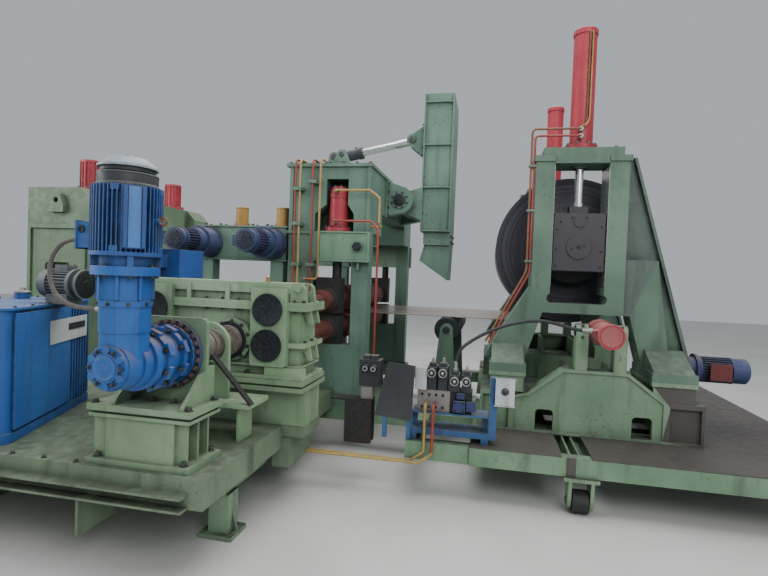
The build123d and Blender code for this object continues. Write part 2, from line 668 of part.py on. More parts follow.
# Brackets that carry the opening arm and the foot of its cylinder
nose_points = [
    (stand_x[1], stand_top - 12), (stand_x[1] + 34, stand_top - 12), (pivot_x + 62, pivot_z + 112),
    (pivot_x + 108, pivot_z - 68), (pivot_x + 10, pivot_z - pivot_nose), (stand_x[1], stand_top - 340),
]
foot_high = stand_top + 30
with BuildPart() as arm_brackets:
    for name, side in sides:
        reach = across(side, arm_half + pivot_plate + 60, arm_half + 60)
        outline_y(nose_points, reach)
        round_y(pivot_x, reach, pivot_z, pivot_nose)
        round_y(pivot_x, across(side, arm_half + pivot_plate + 68, arm_half + 70), pivot_z, pivot_r + 22)
        block((stand_x[1], stand_x[1] + 20), across(side, arm_half + pivot_plate + 90, arm_half + 40),
              (stand_top - 350, stand_top - 4))
        round_y(pivot_x, across(side, arm_half + pivot_plate + 75, arm_half + 55), pivot_z,
                pivot_r + pin_gap, mode=Mode.SUBTRACT)
    for hand in (-1, 1):
        y = line_y + hand * (cylinder_eye / 2 + fork_plate / 2)
        ends = (y - fork_plate / 2, y + fork_plate / 2)
        outline_y([(cylinder_pin[0] - 130, foot_high), (cylinder_pin[0] + 130, foot_high),
                   (cylinder_pin[0] + 52, cylinder_pin[1]), (cylinder_pin[0] - 52, cylinder_pin[1])], ends)
        round_y(cylinder_pin[0], ends, cylinder_pin[1], 52.0)
    reach = cylinder_eye / 2 + fork_plate
    round_y(cylinder_pin[0], (line_y - reach - 8, line_y + reach + 8), cylinder_pin[1], pin_r)
    block((cylinder_pin[0] - 150, cylinder_pin[0] + 150), (line_y - reach - 20, line_y + reach + 20),
          (foot_high, foot_high + 20))
    for name, side in sides:
        ends = across(side, stand_out - 60, stand_out - 84)
        outline_y([(-290, foot_high), (-110, foot_high), (-156, foot_high + 88), (-244, foot_high + 88)],
                  ends)
        round_y(-200.0, ends, foot_high + 88, 44.0)
        round_y(-200.0, across(side, stand_out - 50, stand_out - 94), foot_high + 88, 24.0,
                mode=Mode.SUBTRACT)
save(arm_brackets, "arm_brackets")

# Opening arm: two flange plates with stiffened panels between, a hub on its left face, a fork
# above and a blade foot
with BuildPart() as opening_arm:
    reach = across(1, -arm_half, arm_half)
    panel = across(1, -arm_half + arm_panel, arm_half - arm_panel)
    block((arm_x[0], arm_x[0] + arm_plate), reach, arm_z)
    block((arm_x[1] - arm_plate, arm_x[1]), reach, arm_z)
    block(arm_x, panel, arm_z)
    for z in (arm_z[0], stand_top - 33, stand_top + 382, stand_top + 797):
        block(arm_x, across(1, -arm_half + 3, arm_half - 3), (z, z + arm_plate))
    block((arm_x[0] + 8, arm_x[1] - 8), panel, (arm_z[1] - 20, arm_z[1] + 10))
    block((arm_x[0] + 31, arm_x[1]), across(1, -arm_half + 40, arm_half - 40), (stand_top - 578, arm_z[0]))
    block((arm_x[0] + 38, arm_x[1]), across(1, -arm_half + 34, arm_half - 34),
          (stand_top - 590, stand_top - 574))
    outline_y([(arm_x[0] + 44, stand_top - 578), (arm_x[1], stand_top - 572), (arm_x[1] - 11, stand_top - 934),
               (arm_x[0] - 5, stand_top - 746)], across(1, -arm_half + 60, arm_half - 60))
    outline_y([(arm_x[0], pivot_z - 170), (arm_x[0], pivot_z + 150), (pivot_x, pivot_z + 96),
               (pivot_x, pivot_z - 96)], reach)
    round_y(pivot_x, reach, pivot_z, 96.0)
    pin_reach = arm_half + pivot_plate + 74
    round_y(pivot_x, across(1, -pin_reach, pin_reach), pivot_z, pivot_r)
    block((arm_x[0] - 22, arm_x[0]), across(1, -130, 130), (rod_pin[1] - 200, rod_pin[1] + 160))
    for hand in (-1, 1):
        y = line_y + hand * (rod_eye / 2 + fork_plate / 2)
        ends = (y - fork_plate / 2, y + fork_plate / 2)
        outline_y([(arm_x[0] - 20, rod_pin[1] - 180), (arm_x[0] - 20, rod_pin[1] + 140),
                   (rod_pin[0] + 6, rod_pin[1] + 58), (rod_pin[0] - 40, rod_pin[1] - 44)], ends)
        round_y(rod_pin[0], ends, rod_pin[1], 58.0)
    reach = rod_eye / 2 + fork_plate + 8
    round_y(rod_pin[0], (line_y - reach, line_y + reach), rod_pin[1], pin_r)
save(opening_arm, "opening_arm")

tilt = math.degrees(math.atan2(rod_pin[1] - cylinder_pin[1], rod_pin[0] - cylinder_pin[0]))
reach_pins = math.hypot(rod_pin[1] - cylinder_pin[1], rod_pin[0] - cylinder_pin[0])
along = Location((cylinder_pin[0], line_y, cylinder_pin[1]), (0, -tilt, 0))
with BuildPart() as arm_cylinder:
    with Locations(along):
        with Locations(Location((0, 0, 0), (90, 0, 0))):
            Cylinder(55, cylinder_eye - 2 * eye_side)
        for start, length, radius in ((0, arm_barrel_end, arm_barrel_r), (58, 24, arm_barrel_r + 6),
                                      (arm_barrel_end - 46, 46, arm_barrel_r + 6)):
            with Locations(Location((start, 0, 0), (0, 90, 0))):
                Cylinder(radius, length, align=(Align.CENTER, Align.CENTER, Align.MIN))
        for start in (100, 232):
            with Locations((start, 0, arm_barrel_r)):
                Cylinder(14, 30)
        with Locations(Location((70, 0, 0), (0, 90, 0))):
            Cylinder(arm_rod_r + 4, arm_barrel_end - 100, align=(Align.CENTER, Align.CENTER, Align.MIN),
                     mode=Mode.SUBTRACT)
            Cylinder(arm_rod_r + bush_gap, arm_barrel_end, align=(Align.CENTER, Align.CENTER, Align.MIN),
                     mode=Mode.SUBTRACT)
        with Locations(Location((0, 0, 0), (90, 0, 0))):
            Cylinder(pin_r + pin_gap, 200, mode=Mode.SUBTRACT)
save(arm_cylinder, "arm_cylinder")

with BuildPart() as arm_rod:
    with Locations(along):
        with Locations(Location((reach_pins, 0, 0), (90, 0, 0))):
            Cylinder(60, rod_eye - 2 * eye_side)
        for start, radius in ((arm_barrel_end - 10, arm_rod_r), (reach_pins - 150, arm_rod_r + 4)):
            with Locations(Location((start, 0, 0), (0, 90, 0))):
                Cylinder(radius, reach_pins - start, align=(Align.CENTER, Align.CENTER, Align.MIN))
        with Locations(Location((reach_pins, 0, 0), (90, 0, 0))):
            Cylinder(pin_r + eye_play, 200, mode=Mode.SUBTRACT)
save(arm_rod, "arm_rod")

# Gear case: split at the upper and the lower shafts, with a raised band for their covers,
# flanges, hooks at the right end, and a cover with pockets and a lifting lug
band_front = case_y[0] - 16
case_body_x = (case_x[0] + case_inset, case_x[1] - case_inset)
case_body_y = (case_wall, case_y[1] - case_inset)
with BuildPart() as gear_case:
    block(case_body_x, case_body_y, (case_z[0], case_split))
    block((case_x[0] - 13, case_x[1] + 13), case_y, (case_split - case_flange, case_split))
    block((case_x[0] - 6, case_x[1] + 6), (case_y[0] + 4, case_y[1]), (case_low_split - 22, case_low_split + 10))
    block((case_x[0] + 10, case_x[1] - 12), (case_y[0] + 10, case_y[1] - 10), (case_z[0] + 75, case_z[0] + 89))
    block((case_x[0] - 20, case_x[1] + 10), (case_y[0] - 12, case_y[1] + 12), (case_z[0], case_z[0] + 23))
    block((roll_x - 32, case_x[1] + 10), (case_y[0] - 6, case_wall), (case_z[0], case_z[0] + 76))
    for x in (roll_x - 140, roll_x + 98):
        block((x, x + 22), (case_y[0] + 4, case_wall + 5), (case_z[0] + 79, case_split))
    rounded_y((roll_x - 134, roll_x + 114), (band_front, case_wall + 5), (case_z[0] + 79, case_split - 2), 20.0)
    block((roll_x - 134, roll_x + 114), (band_front, case_wall), (case_split - 60, case_split))
    rounded_y((left_output_x - 120, left_output_x + 120), (band_front, case_wall + 5),
              (left_output_z - 130, case_split), 8.0)
    for z in cover_z:
        round_y(cover_x, (band_front - 14, band_front), z, cover_r)
    for z in (upper_roll_z, lower_roll_z):
        round_y(roll_x, (case_body_y[1] - 5, spindle_start - 8), z, 85.0)
    block((case_x[0] - 20, case_x[1] + 20), (band_front, case_y[1]), (case_split, case_z[1]),
          mode=Mode.SUBTRACT)
    round_y(left_output_x, (band_front - 14, band_front), left_output_z, cover_r)
    round_y(drive_x, (case_y[0] - 60, case_wall + 5), drive_z, 112.0)
    round_y(drive_x, (case_y[0] - 20, case_wall + 5), drive_z, 134.0)
    for y in (case_wall + 70, case_body_y[1] - 90):
        for z in (case_split - case_flange, case_low_split - 22):
            outline_y([(case_body_x[1] - 2, z), (case_x[1] + 4, z), (case_x[1] + 22, z - 88),
                       (case_x[1] - 2, z - 88), (case_body_x[1] - 2, z - 30)], (y, y + 24))
save(gear_case, "gear_case")

with BuildPart() as gear_case_cover:
    lug_x = roll_x + 174
    lug_z = case_split + 116
    top_low = case_z[1] - 68
    block((case_body_x[0], lug_x - 45), case_body_y, (case_split, case_z[1]))
    block((lug_x - 50, case_body_x[1]), case_body_y, (case_split, case_split + 70))
    block((case_x[0] - 13, case_x[1] + 13), case_y, (case_split, case_split + case_flange))
    block((case_body_x[0], lug_x - 45), (case_y[0] + 12, case_wall + 5), (top_low, case_z[1]))
    for x in (case_body_x[0], -1150.0, -866.0, -588.0):
        block((x, x + 30), (case_y[0] + 6, case_wall + 5), (case_split, case_z[1] - 20))
    for x0, x1 in ((roll_x - 134, roll_x + 114), (left_output_x - 120, left_output_x + 120)):
        block((x0, x1), (band_front, case_wall + 5), (case_split, case_split + 114))
    for y in (case_y[0] + 14, case_y[0] + 175):
        outline_y([(lug_x - 55, case_split + 20), (lug_x + 58, case_split + 20), (lug_x + 46, lug_z),
                   (lug_x + 38, case_z[1] - 14), (lug_x + 18, case_z[1]), (lug_x - 55, case_z[1])], (y, y + 30))
    round_y(lug_x, (case_y[0] + 2, case_wall), lug_z, 24.0)
    round_y(lug_x, (case_y[0] + 170, case_y[0] + 210), lug_z, 25.0, mode=Mode.SUBTRACT)
save(gear_case_cover, "gear_case_cover")

with BuildPart() as gear_plinth:
    low = case_z[0] - 70
    block((case_x[0] + 50, case_x[1] + 6), (case_y[0] + 50, case_y[1] - 30), (platform_top, low + 5))
    block((case_x[0] - 40, case_x[1] + 22), (case_y[0] - 44, case_y[1] + 34), (low, low + 28))
    block((case_x[0] - 10, case_x[1] + 4), (case_y[0] - 14, case_y[1] + 4), (low + 28, low + 40))
    block((case_x[0] - 34, case_x[1] + 18), (case_y[0] - 38, case_y[1] + 28), (low + 40, case_z[0]))
save(gear_plinth, "gear_plinth")

# Drive: pedestal with bracket plate, planetary stage, bevel case, motor and coupling
pedestal_x = (drive_x - 334, drive_x + 245)
pedestal_y = (line_y - 3100.0, line_y - 2800.0)
pedestal_top = 800.0
bracket_y = (line_y - 2900.0, line_y - 2872.0)
bracket_half = 200.0
with BuildPart() as drive_pedestal:
    box_x = (pedestal_x[0] + 96, pedestal_x[1] - 98)
    low = platform_top + 28
    block(pedestal_x, pedestal_y, (platform_top, low))
    block(box_x, (pedestal_y[0] + 20, pedestal_y[1] - 20), (low, pedestal_top - 60))
    block((pedestal_x[0] + 8, pedestal_x[1] - 8), (pedestal_y[0] + 6, pedestal_y[1] - 6),
          (pedestal_top - 64, pedestal_top - 46))
    block((pedestal_x[0] + 30, pedestal_x[1] - 30), (pedestal_y[0] + 26, pedestal_y[1] - 26),
          (pedestal_top - 46, pedestal_top - 32))
    block(pedestal_x, pedestal_y, (pedestal_top - 32, pedestal_top))
    for n in range(3):
        y = pedestal_y[0] + 40 + n * 92
        block((pedestal_x[0] + 14, pedestal_x[1] - 40), (y, y + 16), (low, pedestal_top - 62))
    rounded_y((drive_x - bracket_half, drive_x + bracket_half), bracket_y,
              (pedestal_top - 28, drive_z + 192), 38.0)
    for hand in (-1, 1):
        x = drive_x + hand * (bracket_half - 10)
        outline_x([(bracket_y[0], pedestal_top), (bracket_y[0] - 190, pedestal_top),
                   (bracket_y[0] - 190, pedestal_top + 16), (bracket_y[0] - 42, pedestal_top + 150),
                   (bracket_y[0], pedestal_top + 164)], (x - 10, x + 10))
        block((x - 10, x + 10), (bracket_y[1], bracket_y[1] + 60), (pedestal_top, pedestal_top + 180))
    round_y(drive_x, (bracket_y[0] - 5, bracket_y[1] + 5), drive_z, 110.0, mode=Mode.SUBTRACT)
save(drive_pedestal, "drive_pedestal")

bevel_y = bracket_y[0] - 300.0
with BuildPart() as planetary_gear:
    front = bracket_y[0]
    for near, far, radius in ((-22, 0, 180.0), (-46, -22, 156.0), (-300, -46, 126.0),
                              (-112, -82, 148.0), (-228, -198, 142.0), (-300, -262, 136.0)):
        round_y(drive_x, (front + near, front + far), drive_z, radius)
    for middle, radius in ((-97, 152.0), (-213, 146.0)):
        with Locations(Location((drive_x, front + middle, drive_z), (90, 0, 0))):
            with PolarLocations(radius - 14, 8, start_angle=22.5):
                Box(44, 62, 30)
    round_y(drive_x, bracket_y, drive_z, 110.0 - seat_gap)
save(planetary_gear, "planetary_gear")

motor_y = line_y - 3260.0
motor_z = 1492.0
adapter_low = 1196.0
adapter_step = 1313.0
adapter_r = 113.0
motor_r = 151.0
with BuildPart() as bevel_case:
    round_y(drive_x, (bevel_y - 60, bevel_y), drive_z, 118.0)
    round_y(drive_x, (bevel_y - 150, bevel_y - 60), drive_z, 106.0)
    round_y(drive_x, (bevel_y - 168, bevel_y - 150), drive_z, 98.0)
    round_y(drive_x, (bevel_y - 178, bevel_y - 168), drive_z, 66.0)
    with Locations(Location((drive_x, bevel_y - 165, drive_z), (90, 0, 0))):
        with PolarLocations(81, 6, start_angle=30):
            Cylinder(17, 24)
    for z, top, radius in ((drive_z, adapter_low + 4, adapter_r - 4), (adapter_low, adapter_step, adapter_r),
                           (adapter_step, adapter_step + 26, adapter_r + 6),
                           (adapter_step + 26, motor_z - 39, adapter_r)):
        with BuildSketch(Plane.XY.offset(z)):
            with Locations((drive_x, motor_y)):
                RegularPolygon(radius, 8, rotation=22.5)
        extrude(amount=top - z)
    round_y(drive_x, (bevel_y, bevel_y + 90), drive_z, 140.0, mode=Mode.SUBTRACT)
    round_z(drive_x, motor_y, (motor_z - 40, motor_z), motor_r - 7)
    for n in range(8):
        angle = math.radians(22.5 + 45 * n)
        place = (drive_x + 109 * math.cos(angle), motor_y + 109 * math.sin(angle), motor_z - 92)
        with Locations(Location(place, (0, 0, 22.5 + 45 * n))):
            Box(30, 14, 110)
save(bevel_case, "bevel_case")

fan_z = motor_z + 353.0
motor_box_x = drive_x - 191
with BuildPart() as drive_motor:
    for z, top, radius in ((motor_z, motor_z + 46, 118.0), (motor_z + 46, motor_z + 64, motor_r),
                           (motor_z + 60, fan_z, motor_r - 22), (fan_z, fan_z + 60, 128.0),
                           (fan_z + 66, fan_z + 82, 116.0), (fan_z + 60, fan_z + 104, 84.0)):
        round_z(drive_x, motor_y, (z, top), radius)
    fins(Location((drive_x, motor_y, (motor_z + 60 + fan_z) / 2)), motor_r - 22, 48, 22.0, 5.0,
         fan_z - motor_z - 60)
    for n in range(4):
        angle = math.radians(45 + 90 * n)
        place = (drive_x + 124 * math.cos(angle), motor_y + 124 * math.sin(angle), motor_z + 25)
        with Locations(Location(place, (0, 0, 45 + 90 * n))):
            Box(40, 26, 50)
    with Locations(Location((drive_x, motor_y, motor_z + 212), (0, 0, -42))):
        with Locations((motor_r, 0, 0)):
            Box(36, 88, 270)
    block((motor_box_x - 2, drive_x - 115), (motor_y - 78, motor_y + 78), (motor_z + 77, motor_z + 193))
    block((motor_box_x - 8, motor_box_x), (motor_y - 84, motor_y + 84), (motor_z + 71, motor_z + 199))
    round_x((drive_x + 140, drive_x + 168), motor_y, motor_z + 205, 13.0)
    block((drive_x - 20, drive_x + 150), (motor_y + 184, motor_y + 390), (motor_z - 46, motor_z + 92))
    block((drive_x - 20, drive_x + 80), (motor_y + 100, motor_y + 190), (motor_z + 2, motor_z + 60))
    with BuildSketch(Plane(origin=(drive_x, motor_y, fan_z + 84), x_dir=(1, 0, 0), z_dir=(0, -1, 0))):
        with BuildLine():
            Polyline((0, 16), (100, 0), (127, 0), (127, 10), (84, 46), (0, 60), close=True)
        make_face()
    revolve(axis=Axis((drive_x, motor_y, 0), (0, 0, 1)))
save(drive_motor, "drive_motor")

with BuildPart() as drive_coupling:
    span = case_y[0] - 60 - bracket_y[1]
    for near, far, radius in ((0, span, 58.0), (0, 40, 84.0), (150, 258, 92.0), (272, 380, 92.0),
                              (258, 272, 82.0), (span - 40, span, 96.0)):
        round_y(drive_x, (bracket_y[1] + near, bracket_y[1] + far), drive_z, radius)
save(drive_coupling, "drive_coupling")

# Platform beside the bridge, for the drive, the gear case and the oil unit
with BuildPart() as platform:
    inset = 60.0
    plate = 15.0
    under = (platform_low, platform_top - plate)
    block(platform_x, (platform_y[0] + inset, platform_y[1]), (platform_top - plate, platform_top))
    for z in (platform_low, platform_low + 63):
        block((platform_x[0], platform_x[1] - 80), (platform_y[0], platform_y[0] + inset + 40), (z, z + 12))
    for y0 in (platform_y[0] + inset, line_y - 2000.0, platform_y[1] - 120):
        block((platform_x[0] + 20, platform_x[1] - 20), (y0, y0 + 60), under)
    pitch = (platform_x[1] - 60 - platform_x[0]) / platform_bays
    for n in range(platform_bays + 1):
        x0 = platform_x[0] + n * pitch
        block((x0, x0 + 60), (platform_y[0] + inset, platform_y[1]), under)
    block((-840, -825), (platform_y[0] + 20, platform_y[0] + 300), (160, platform_low))
    block((platform_x[1] - 70, case_x[1] + 8), (line_y - 2205.0, line_y - 1900.0), (platform_top - 70, platform_top))
    block((platform_x[1] - 70, platform_foot_x), (line_y - 2190.0, line_y - 1800.0),
          (platform_low - 130, platform_top - 60))
save(platform, "platform")

# Leveller behind the gear case
leveller_x = (-1500.0, -665.0)
leveller_z = (1595.0, 1875.0)
with BuildPart() as leveller_frame:
    for name, side in sides:
        reach = across(side, 1080, 960)
        block(leveller_x, reach, leveller_z)
        for x0 in (leveller_x[0] + 20, leveller_x[1] - 140):
            block((x0, x0 + 120), reach, (deck_z, leveller_z[0]))
            block((x0 - 16, x0 + 136), across(side, 1096, 944), (deck_z, deck_z + 30))
        for z in (leveller_z[0] - 14, leveller_z[1]):
            block((leveller_x[0] - 14, leveller_x[1] + 14), across(side, 1092, 948), (z, z + 14))
        for x in (-1117.0, -727.0):
            round_z(x, line_y + side * 1020, (leveller_z[1], leveller_z[1] + 168), 55.0)
            round_z(x, line_y + side * 1020, (leveller_z[1], leveller_z[1] + 40), 68.0)
save(leveller_frame, "leveller_frame")

with BuildPart() as leveller_gear_motors:
    y0 = line_y - 1080
    for x in (-1400.0, -785.0):
        for near, far, radius in ((0, 36, 134.0), (36, 190, 126.0), (190, 214, 134.0), (214, 290, 112.0),
                                  (290, 310, 106.0), (310, 460, 84.0), (460, 476, 98.0), (476, 530, 90.0),
                                  (530, 542, 76.0)):
            round_y(x, (y0 - far, y0 - near), 1730.0, radius)
        fins(Location((x, y0 - 385, 1730.0), (90, 0, 0)), 84.0, 26, 13.0, 5.0, 150.0)
        block((x - 150, x - 60), (y0 - 450, y0 - 340), (1684, 1772))
save(leveller_gear_motors, "leveller_gear_motors")

with BuildPart() as leveller_rolls:
    for n in range(5):
        hand = -1 if n % 2 == 0 else 1
        z = pass_z + hand * (strip_thick / 2 + seat_gap + 90)
        round_y(-1410.0 + 180 * n, across(1, -960, 960), z, 90.0)
save(leveller_rolls, "leveller_rolls")

# Second roll stand at the left end
with BuildPart() as left_housings:
    for name, side in sides:
        reach = across(side, 1050, 720)
        outline_y([(left_x[0], deck_z), (left_x[1], deck_z), (left_x[1], left_top - 120),
                   (left_x[1] - 120, left_top), (left_x[0], left_top)], reach)
        rounded_y((left_x[0] + 210, left_x[1] - 210), across(side, 1055, 715), (900, 1500), 40.0,
                  mode=Mode.SUBTRACT)
        block((left_x[0] + 60, left_x[1] - 60), across(side, 1074, 1040), (left_top - 400, left_top - 360))
        for x in (left_x[0] + 30, left_x[1] - 54):
            block((x, x + 24), across(side, 1068, 1040), (deck_z, left_top - 400))
        outline_y([(-3115, left_top - 245), (-2949, left_top - 245), (-2949, left_top - 180),
                   (-2990, left_top - 70), (-3074, left_top - 70), (-3115, left_top - 130)],
                  across(side, 1100, 1045))
        round_y(-3032.0, across(side, 1105, 1048), left_top - 130, 26.0, mode=Mode.SUBTRACT)
    block((left_x[0] + 120, left_x[1] - 120), across(1, -725, 725), (left_top - 300, left_top))
save(left_housings, "left_housings")

with BuildPart() as left_cylinders:
    for name, side in sides:
        y = line_y + side * left_screw_out
        round_z(left_screw_x, y, (left_top, left_top + 36), 138.0)
        round_z(left_screw_x, y, (left_top + 36, left_top + 300), 92.0)
        round_z(left_screw_x, y, (left_top + 300, left_top + 326), 100.0)
        fins(Location((left_screw_x, y, left_top + 168)), 92.0, 18, 9.0, 12.0, 264.0)
save(left_cylinders, "left_cylinders")

# Oil unit on the platform
tank_high = 740.0
tank_size = (480.0, 1050.0)
with BuildPart() as oil_tank:
    turn = Location((-1824, line_y - 2618, platform_top), (0, 0, 20))
    with BuildSketch(Plane(turn)) as outline:
        RectangleRounded(*tank_size, 60)
    extrude(outline.sketch, amount=tank_high)
    with BuildSketch(Plane(turn * Location((0, 0, tank_high)))) as lid:
        RectangleRounded(tank_size[0] + 24, tank_size[1] + 24, 70)
    extrude(lid.sketch, amount=-14)
    with BuildSketch(Plane(turn)) as skirt:
        RectangleRounded(tank_size[0] + 20, tank_size[1] + 20, 68)
    extrude(skirt.sketch, amount=56)
    with Locations(turn):
        for n in range(24):
            with Locations((tank_size[0] / 2, -460 + 40 * n, tank_high / 2 + 10)):
                Box(26, 15, tank_high - 120)
        for x, y in ((-110, 300), (70, 330)):
            with Locations((x, y, tank_high + 20)):
                Cylinder(46, 44)
save(oil_tank, "oil_tank")

with BuildPart() as pump_motor:
    y, z = line_y - 2550.0, 1366.0
    top = platform_top + tank_high
    turned_x([(12, 74.0), (52, 86.0), (12, 92.0), (148, 74.0), (22, 94.0), (40, 66.0), (14, 94.0)],
             -1666.0, y, z)
    fins(Location((-1516.0, y, z), (0, 90, 0)), 74.0, 26, 13.0, 5.0, 148.0)
    block((-1602, -1450), (y - 62, y + 62), (top, z - 60))
    block((-1560, -1470), (y - 40, y + 40), (z + 60, z + 118))
save(pump_motor, "pump_motor")

# Valve stand between the stand and the coil: channel, feet, tray, box post and a guard sheet
valve_y = (line_y - 1780.0, line_y - 1580.0)
channel_z = (deck_z + 42, deck_z + 82)
valve_top = 709.0
with BuildPart() as valve_stand:
    block((582, 1144), valve_y, channel_z)
    for x in (590.0, 1080.0):
        block((x, x + 50), valve_y, (deck_z if x < bridge_x[0] else deck_z + deck_plate, channel_z[0]))
    block((1132, 1180), (valve_y[0], valve_y[0] + 48), (channel_z[0], 832))
    for x in (600.0, 1090.0):
        block((x, x + 34), (valve_y[0] + 60, valve_y[0] + 94), (channel_z[1], 560))
    block((600, 1124), (valve_y[0] + 10, valve_y[1] - 10), (548, 560))
    outline_y([(428, 894), (618, 880), (606, 491), (343, 515)], (valve_y[0] - 30, valve_y[0] - 26))
    for x in (400.0, 570.0):
        block((x, x + 30), (valve_y[0] - 28, valve_y[0] + 4), (deck_z, 700))
    for y0 in (valve_y[0] + 60, valve_y[1] - 46):
        block((100, 296), (y0, y0 + 36), (deck_z - 90, 589))
    block((-8, 298), (valve_y[0] + 60, valve_y[1] - 10), (577, 589))
save(valve_stand, "valve_stand")

with BuildPart() as valve_manifold:
    rows = (valve_y[0] + 30, valve_y[1] - 20)
    block((634, 861), rows, (560, valve_top))
    block((861, 1010), (valve_y[0] + 44, valve_y[1] - 20), (560, valve_top + 4))
    block((614, 696), (valve_y[0] + 20, valve_y[1] - 40), (valve_top, 861))
    for x, z in ((730, 833), (806, 836), (888, 787), (968, 790)):
        block((x - 32, x + 32), rows, (valve_top, z + 34))
        round_y(x, (valve_y[0] - 4, valve_y[0] + 32), z, 30.0)
        block((x - 24, x + 24), (rows[0] + 16, rows[0] + 70), (z + 34, z + 62))
    block((195, 353), (valve_y[0] + 76, valve_y[1] - 20), (688, 880))
    block((210, 296), (valve_y[0] + 90, valve_y[1] - 30), (589, 688))
    for x in (244, 303):
        block((x - 26, x + 26), (valve_y[0] + 84, valve_y[1] - 40), (880, 909))
        round_y(x, (valve_y[0] + 50, valve_y[0] + 78), 820.0, 27.0)
    block((1165, 1290), (valve_y[0] - 40, valve_y[0]), (657, 835))
save(valve_manifold, "valve_manifold")

# Pipes that are held all the way: down the stand's face, to its cylinders and to the valves
pipe_y = line_y - stand_out - 80
cylinder_front = line_y - stand_out + 60 - screwdown_r - seat_gap
sill_y = line_y - stand_out - seat_gap
with BuildPart() as oil_pipes:
    for x in (-553.0, -512.0, -400.0):
        pipe([(x, pipe_y + 170, stand_top + 50), (x, pipe_y, stand_top + 50), (x, pipe_y, 620),
              (x, sill_y, 620)], 9.0, 32.0)
    pipe([(-324, pipe_y + 170, stand_top + 50), (-324, pipe_y - 26, stand_top + 50), (-324, pipe_y - 26, 1440),
          (-456, pipe_y - 26, 1440), (-456, sill_y, 1440)], 9.0, 32.0)
    pipe([(screw_x, cylinder_front, 2190), (screw_x, pipe_y, 2190), (97, pipe_y, 2190), (184, pipe_y, 2127),
          (184, pipe_y, 1900), (184, pipe_y + 120, 1900), (stand_x[1] + seat_gap, pipe_y + 120, 1900)],
         9.0, 24.0)
    pipe([(screw_x, cylinder_front, 1932), (screw_x, pipe_y - 26, 1932), (124, pipe_y - 26, 1932),
          (186, pipe_y - 26, 1864), (186, pipe_y - 26, 730), (274, pipe_y - 130, 730),
          (274, valve_y[1] - 20 + seat_gap, 730)], 9.0, 24.0)
    for x, y in ((701.0, valve_y[0] - 60), (760.0, valve_y[0] - 95)):
        pipe([(x, valve_y[0] + 30 - seat_gap, 620), (x, y, 620), (x, y, 300), (x - 90, y, 232),
              (platform_foot_x + seat_gap, y, 232)], 10.0, 24.0)
save(oil_pipes, "oil_pipes")


# Free hoses: each run's bend takes 0.45 of its shorter neighbour
def hose(points, diameter):
    vectors = [Vector(*p) for p in points]
    radii = []
    for before, here, after in zip(vectors, vectors[1:], vectors[2:]):
        first = here - before
        second = after - here
        half_turn = math.radians(first.get_angle(second)) / 2
        radii.append(0.45 * min(first.length, second.length) / math.tan(half_turn))
    print("radii", [round(r) for r in radii], "diameter", diameter)
    with BuildLine() as route:
        FilletPolyline(*points, radius=radii)
    print("length", round(sum(edge.length for edge in route.edges())))
    with BuildSketch(Plane(route.line @ 0, z_dir=route.line % 0)) as section:
        Circle(diameter / 2)
    sweep(section.sketch, path=route.line)


box_face = motor_box_x - 8 - seat_gap
adapter_face = drive_x - adapter_r * math.cos(math.radians(22.5)) - seat_gap
with BuildPart() as motor_conduit:
    hose([(box_face, motor_y, 1612), (-804, motor_y, 1612), (-882, motor_y, 1583), (-928, motor_y, 1515),
          (-934, motor_y, 1428), (-896, motor_y, 1340), (-815, motor_y, 1299), (-722, motor_y, 1290),
          (adapter_face, motor_y, 1290)], 21.0)
save(motor_conduit, "motor_conduit")

port_x = head_x + traverse_x - traverse_r - 32 - seat_gap
port_y = line_y - traverse_end + 95
valve_port = (888, valve_y[0] + 73)
with BuildPart() as traverse_hose:
    hose([(port_x, port_y, 1165), (1690, port_y, 1165), (1570, -790, 1205), (1440, -812, 1225),
          (1280, -842, 1200), (1130, -870, 1145), (988, -898, 1065), (*valve_port, 975),
          (*valve_port, 787 + 62 + seat_gap)], 24.0)
save(traverse_hose, "traverse_hose")
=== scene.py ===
import math

import bmesh
import bpy
from mathutils import Matrix, Vector


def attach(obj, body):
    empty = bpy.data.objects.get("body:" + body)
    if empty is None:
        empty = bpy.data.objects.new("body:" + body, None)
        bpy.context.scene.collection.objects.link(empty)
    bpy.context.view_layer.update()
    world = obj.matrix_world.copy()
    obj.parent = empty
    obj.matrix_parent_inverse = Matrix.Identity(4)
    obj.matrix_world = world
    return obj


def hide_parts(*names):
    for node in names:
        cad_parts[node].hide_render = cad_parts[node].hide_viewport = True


# Entry section of a spiral pipe mill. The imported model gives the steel, this script gives the
# paint, the wear, the fasteners, the hoses, the light and the camera. Metres, Z up.

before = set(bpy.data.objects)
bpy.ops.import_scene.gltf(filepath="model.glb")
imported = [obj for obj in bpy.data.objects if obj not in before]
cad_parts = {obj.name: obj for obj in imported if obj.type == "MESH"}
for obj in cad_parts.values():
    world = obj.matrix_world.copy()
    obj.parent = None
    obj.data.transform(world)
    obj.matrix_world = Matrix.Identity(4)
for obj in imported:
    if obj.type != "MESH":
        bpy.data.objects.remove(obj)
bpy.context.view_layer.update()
print("frame loaded:", len(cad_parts), "nodes")

lineY = 0.785       # middle of the strip
headX = 1.760       # middle of the cone heads
coilZ = 1.7703      # axis of the coil
driveX, driveZ = -0.522, 1.045
motorY, motorZ = -2.475, 1.492
valveFront = lineY - 1.780


# Nodes and colours

def linear(code):
    values = []
    for n in (1, 3, 5):
        c = int(code[n:n + 2], 16) / 255
        values.append(c / 12.92 if c <= 0.04045 else ((c + 0.055) / 1.055) ** 2.4)
    return (*values, 1.0)


def addNode(tree, kind, links=None, **settings):
    node = tree.nodes.new(kind)
    for name, value in settings.items():
        setattr(node, name, value)
    for name, value in (links or {}).items():
        if isinstance(value, bpy.types.Node):
            value = value.outputs[2 if value.bl_idname == "ShaderNodeMix" else 0]
        if isinstance(value, bpy.types.NodeSocket):
            tree.links.new(value, node.inputs[name])
        else:
            node.inputs[name].default_value = value
    return node


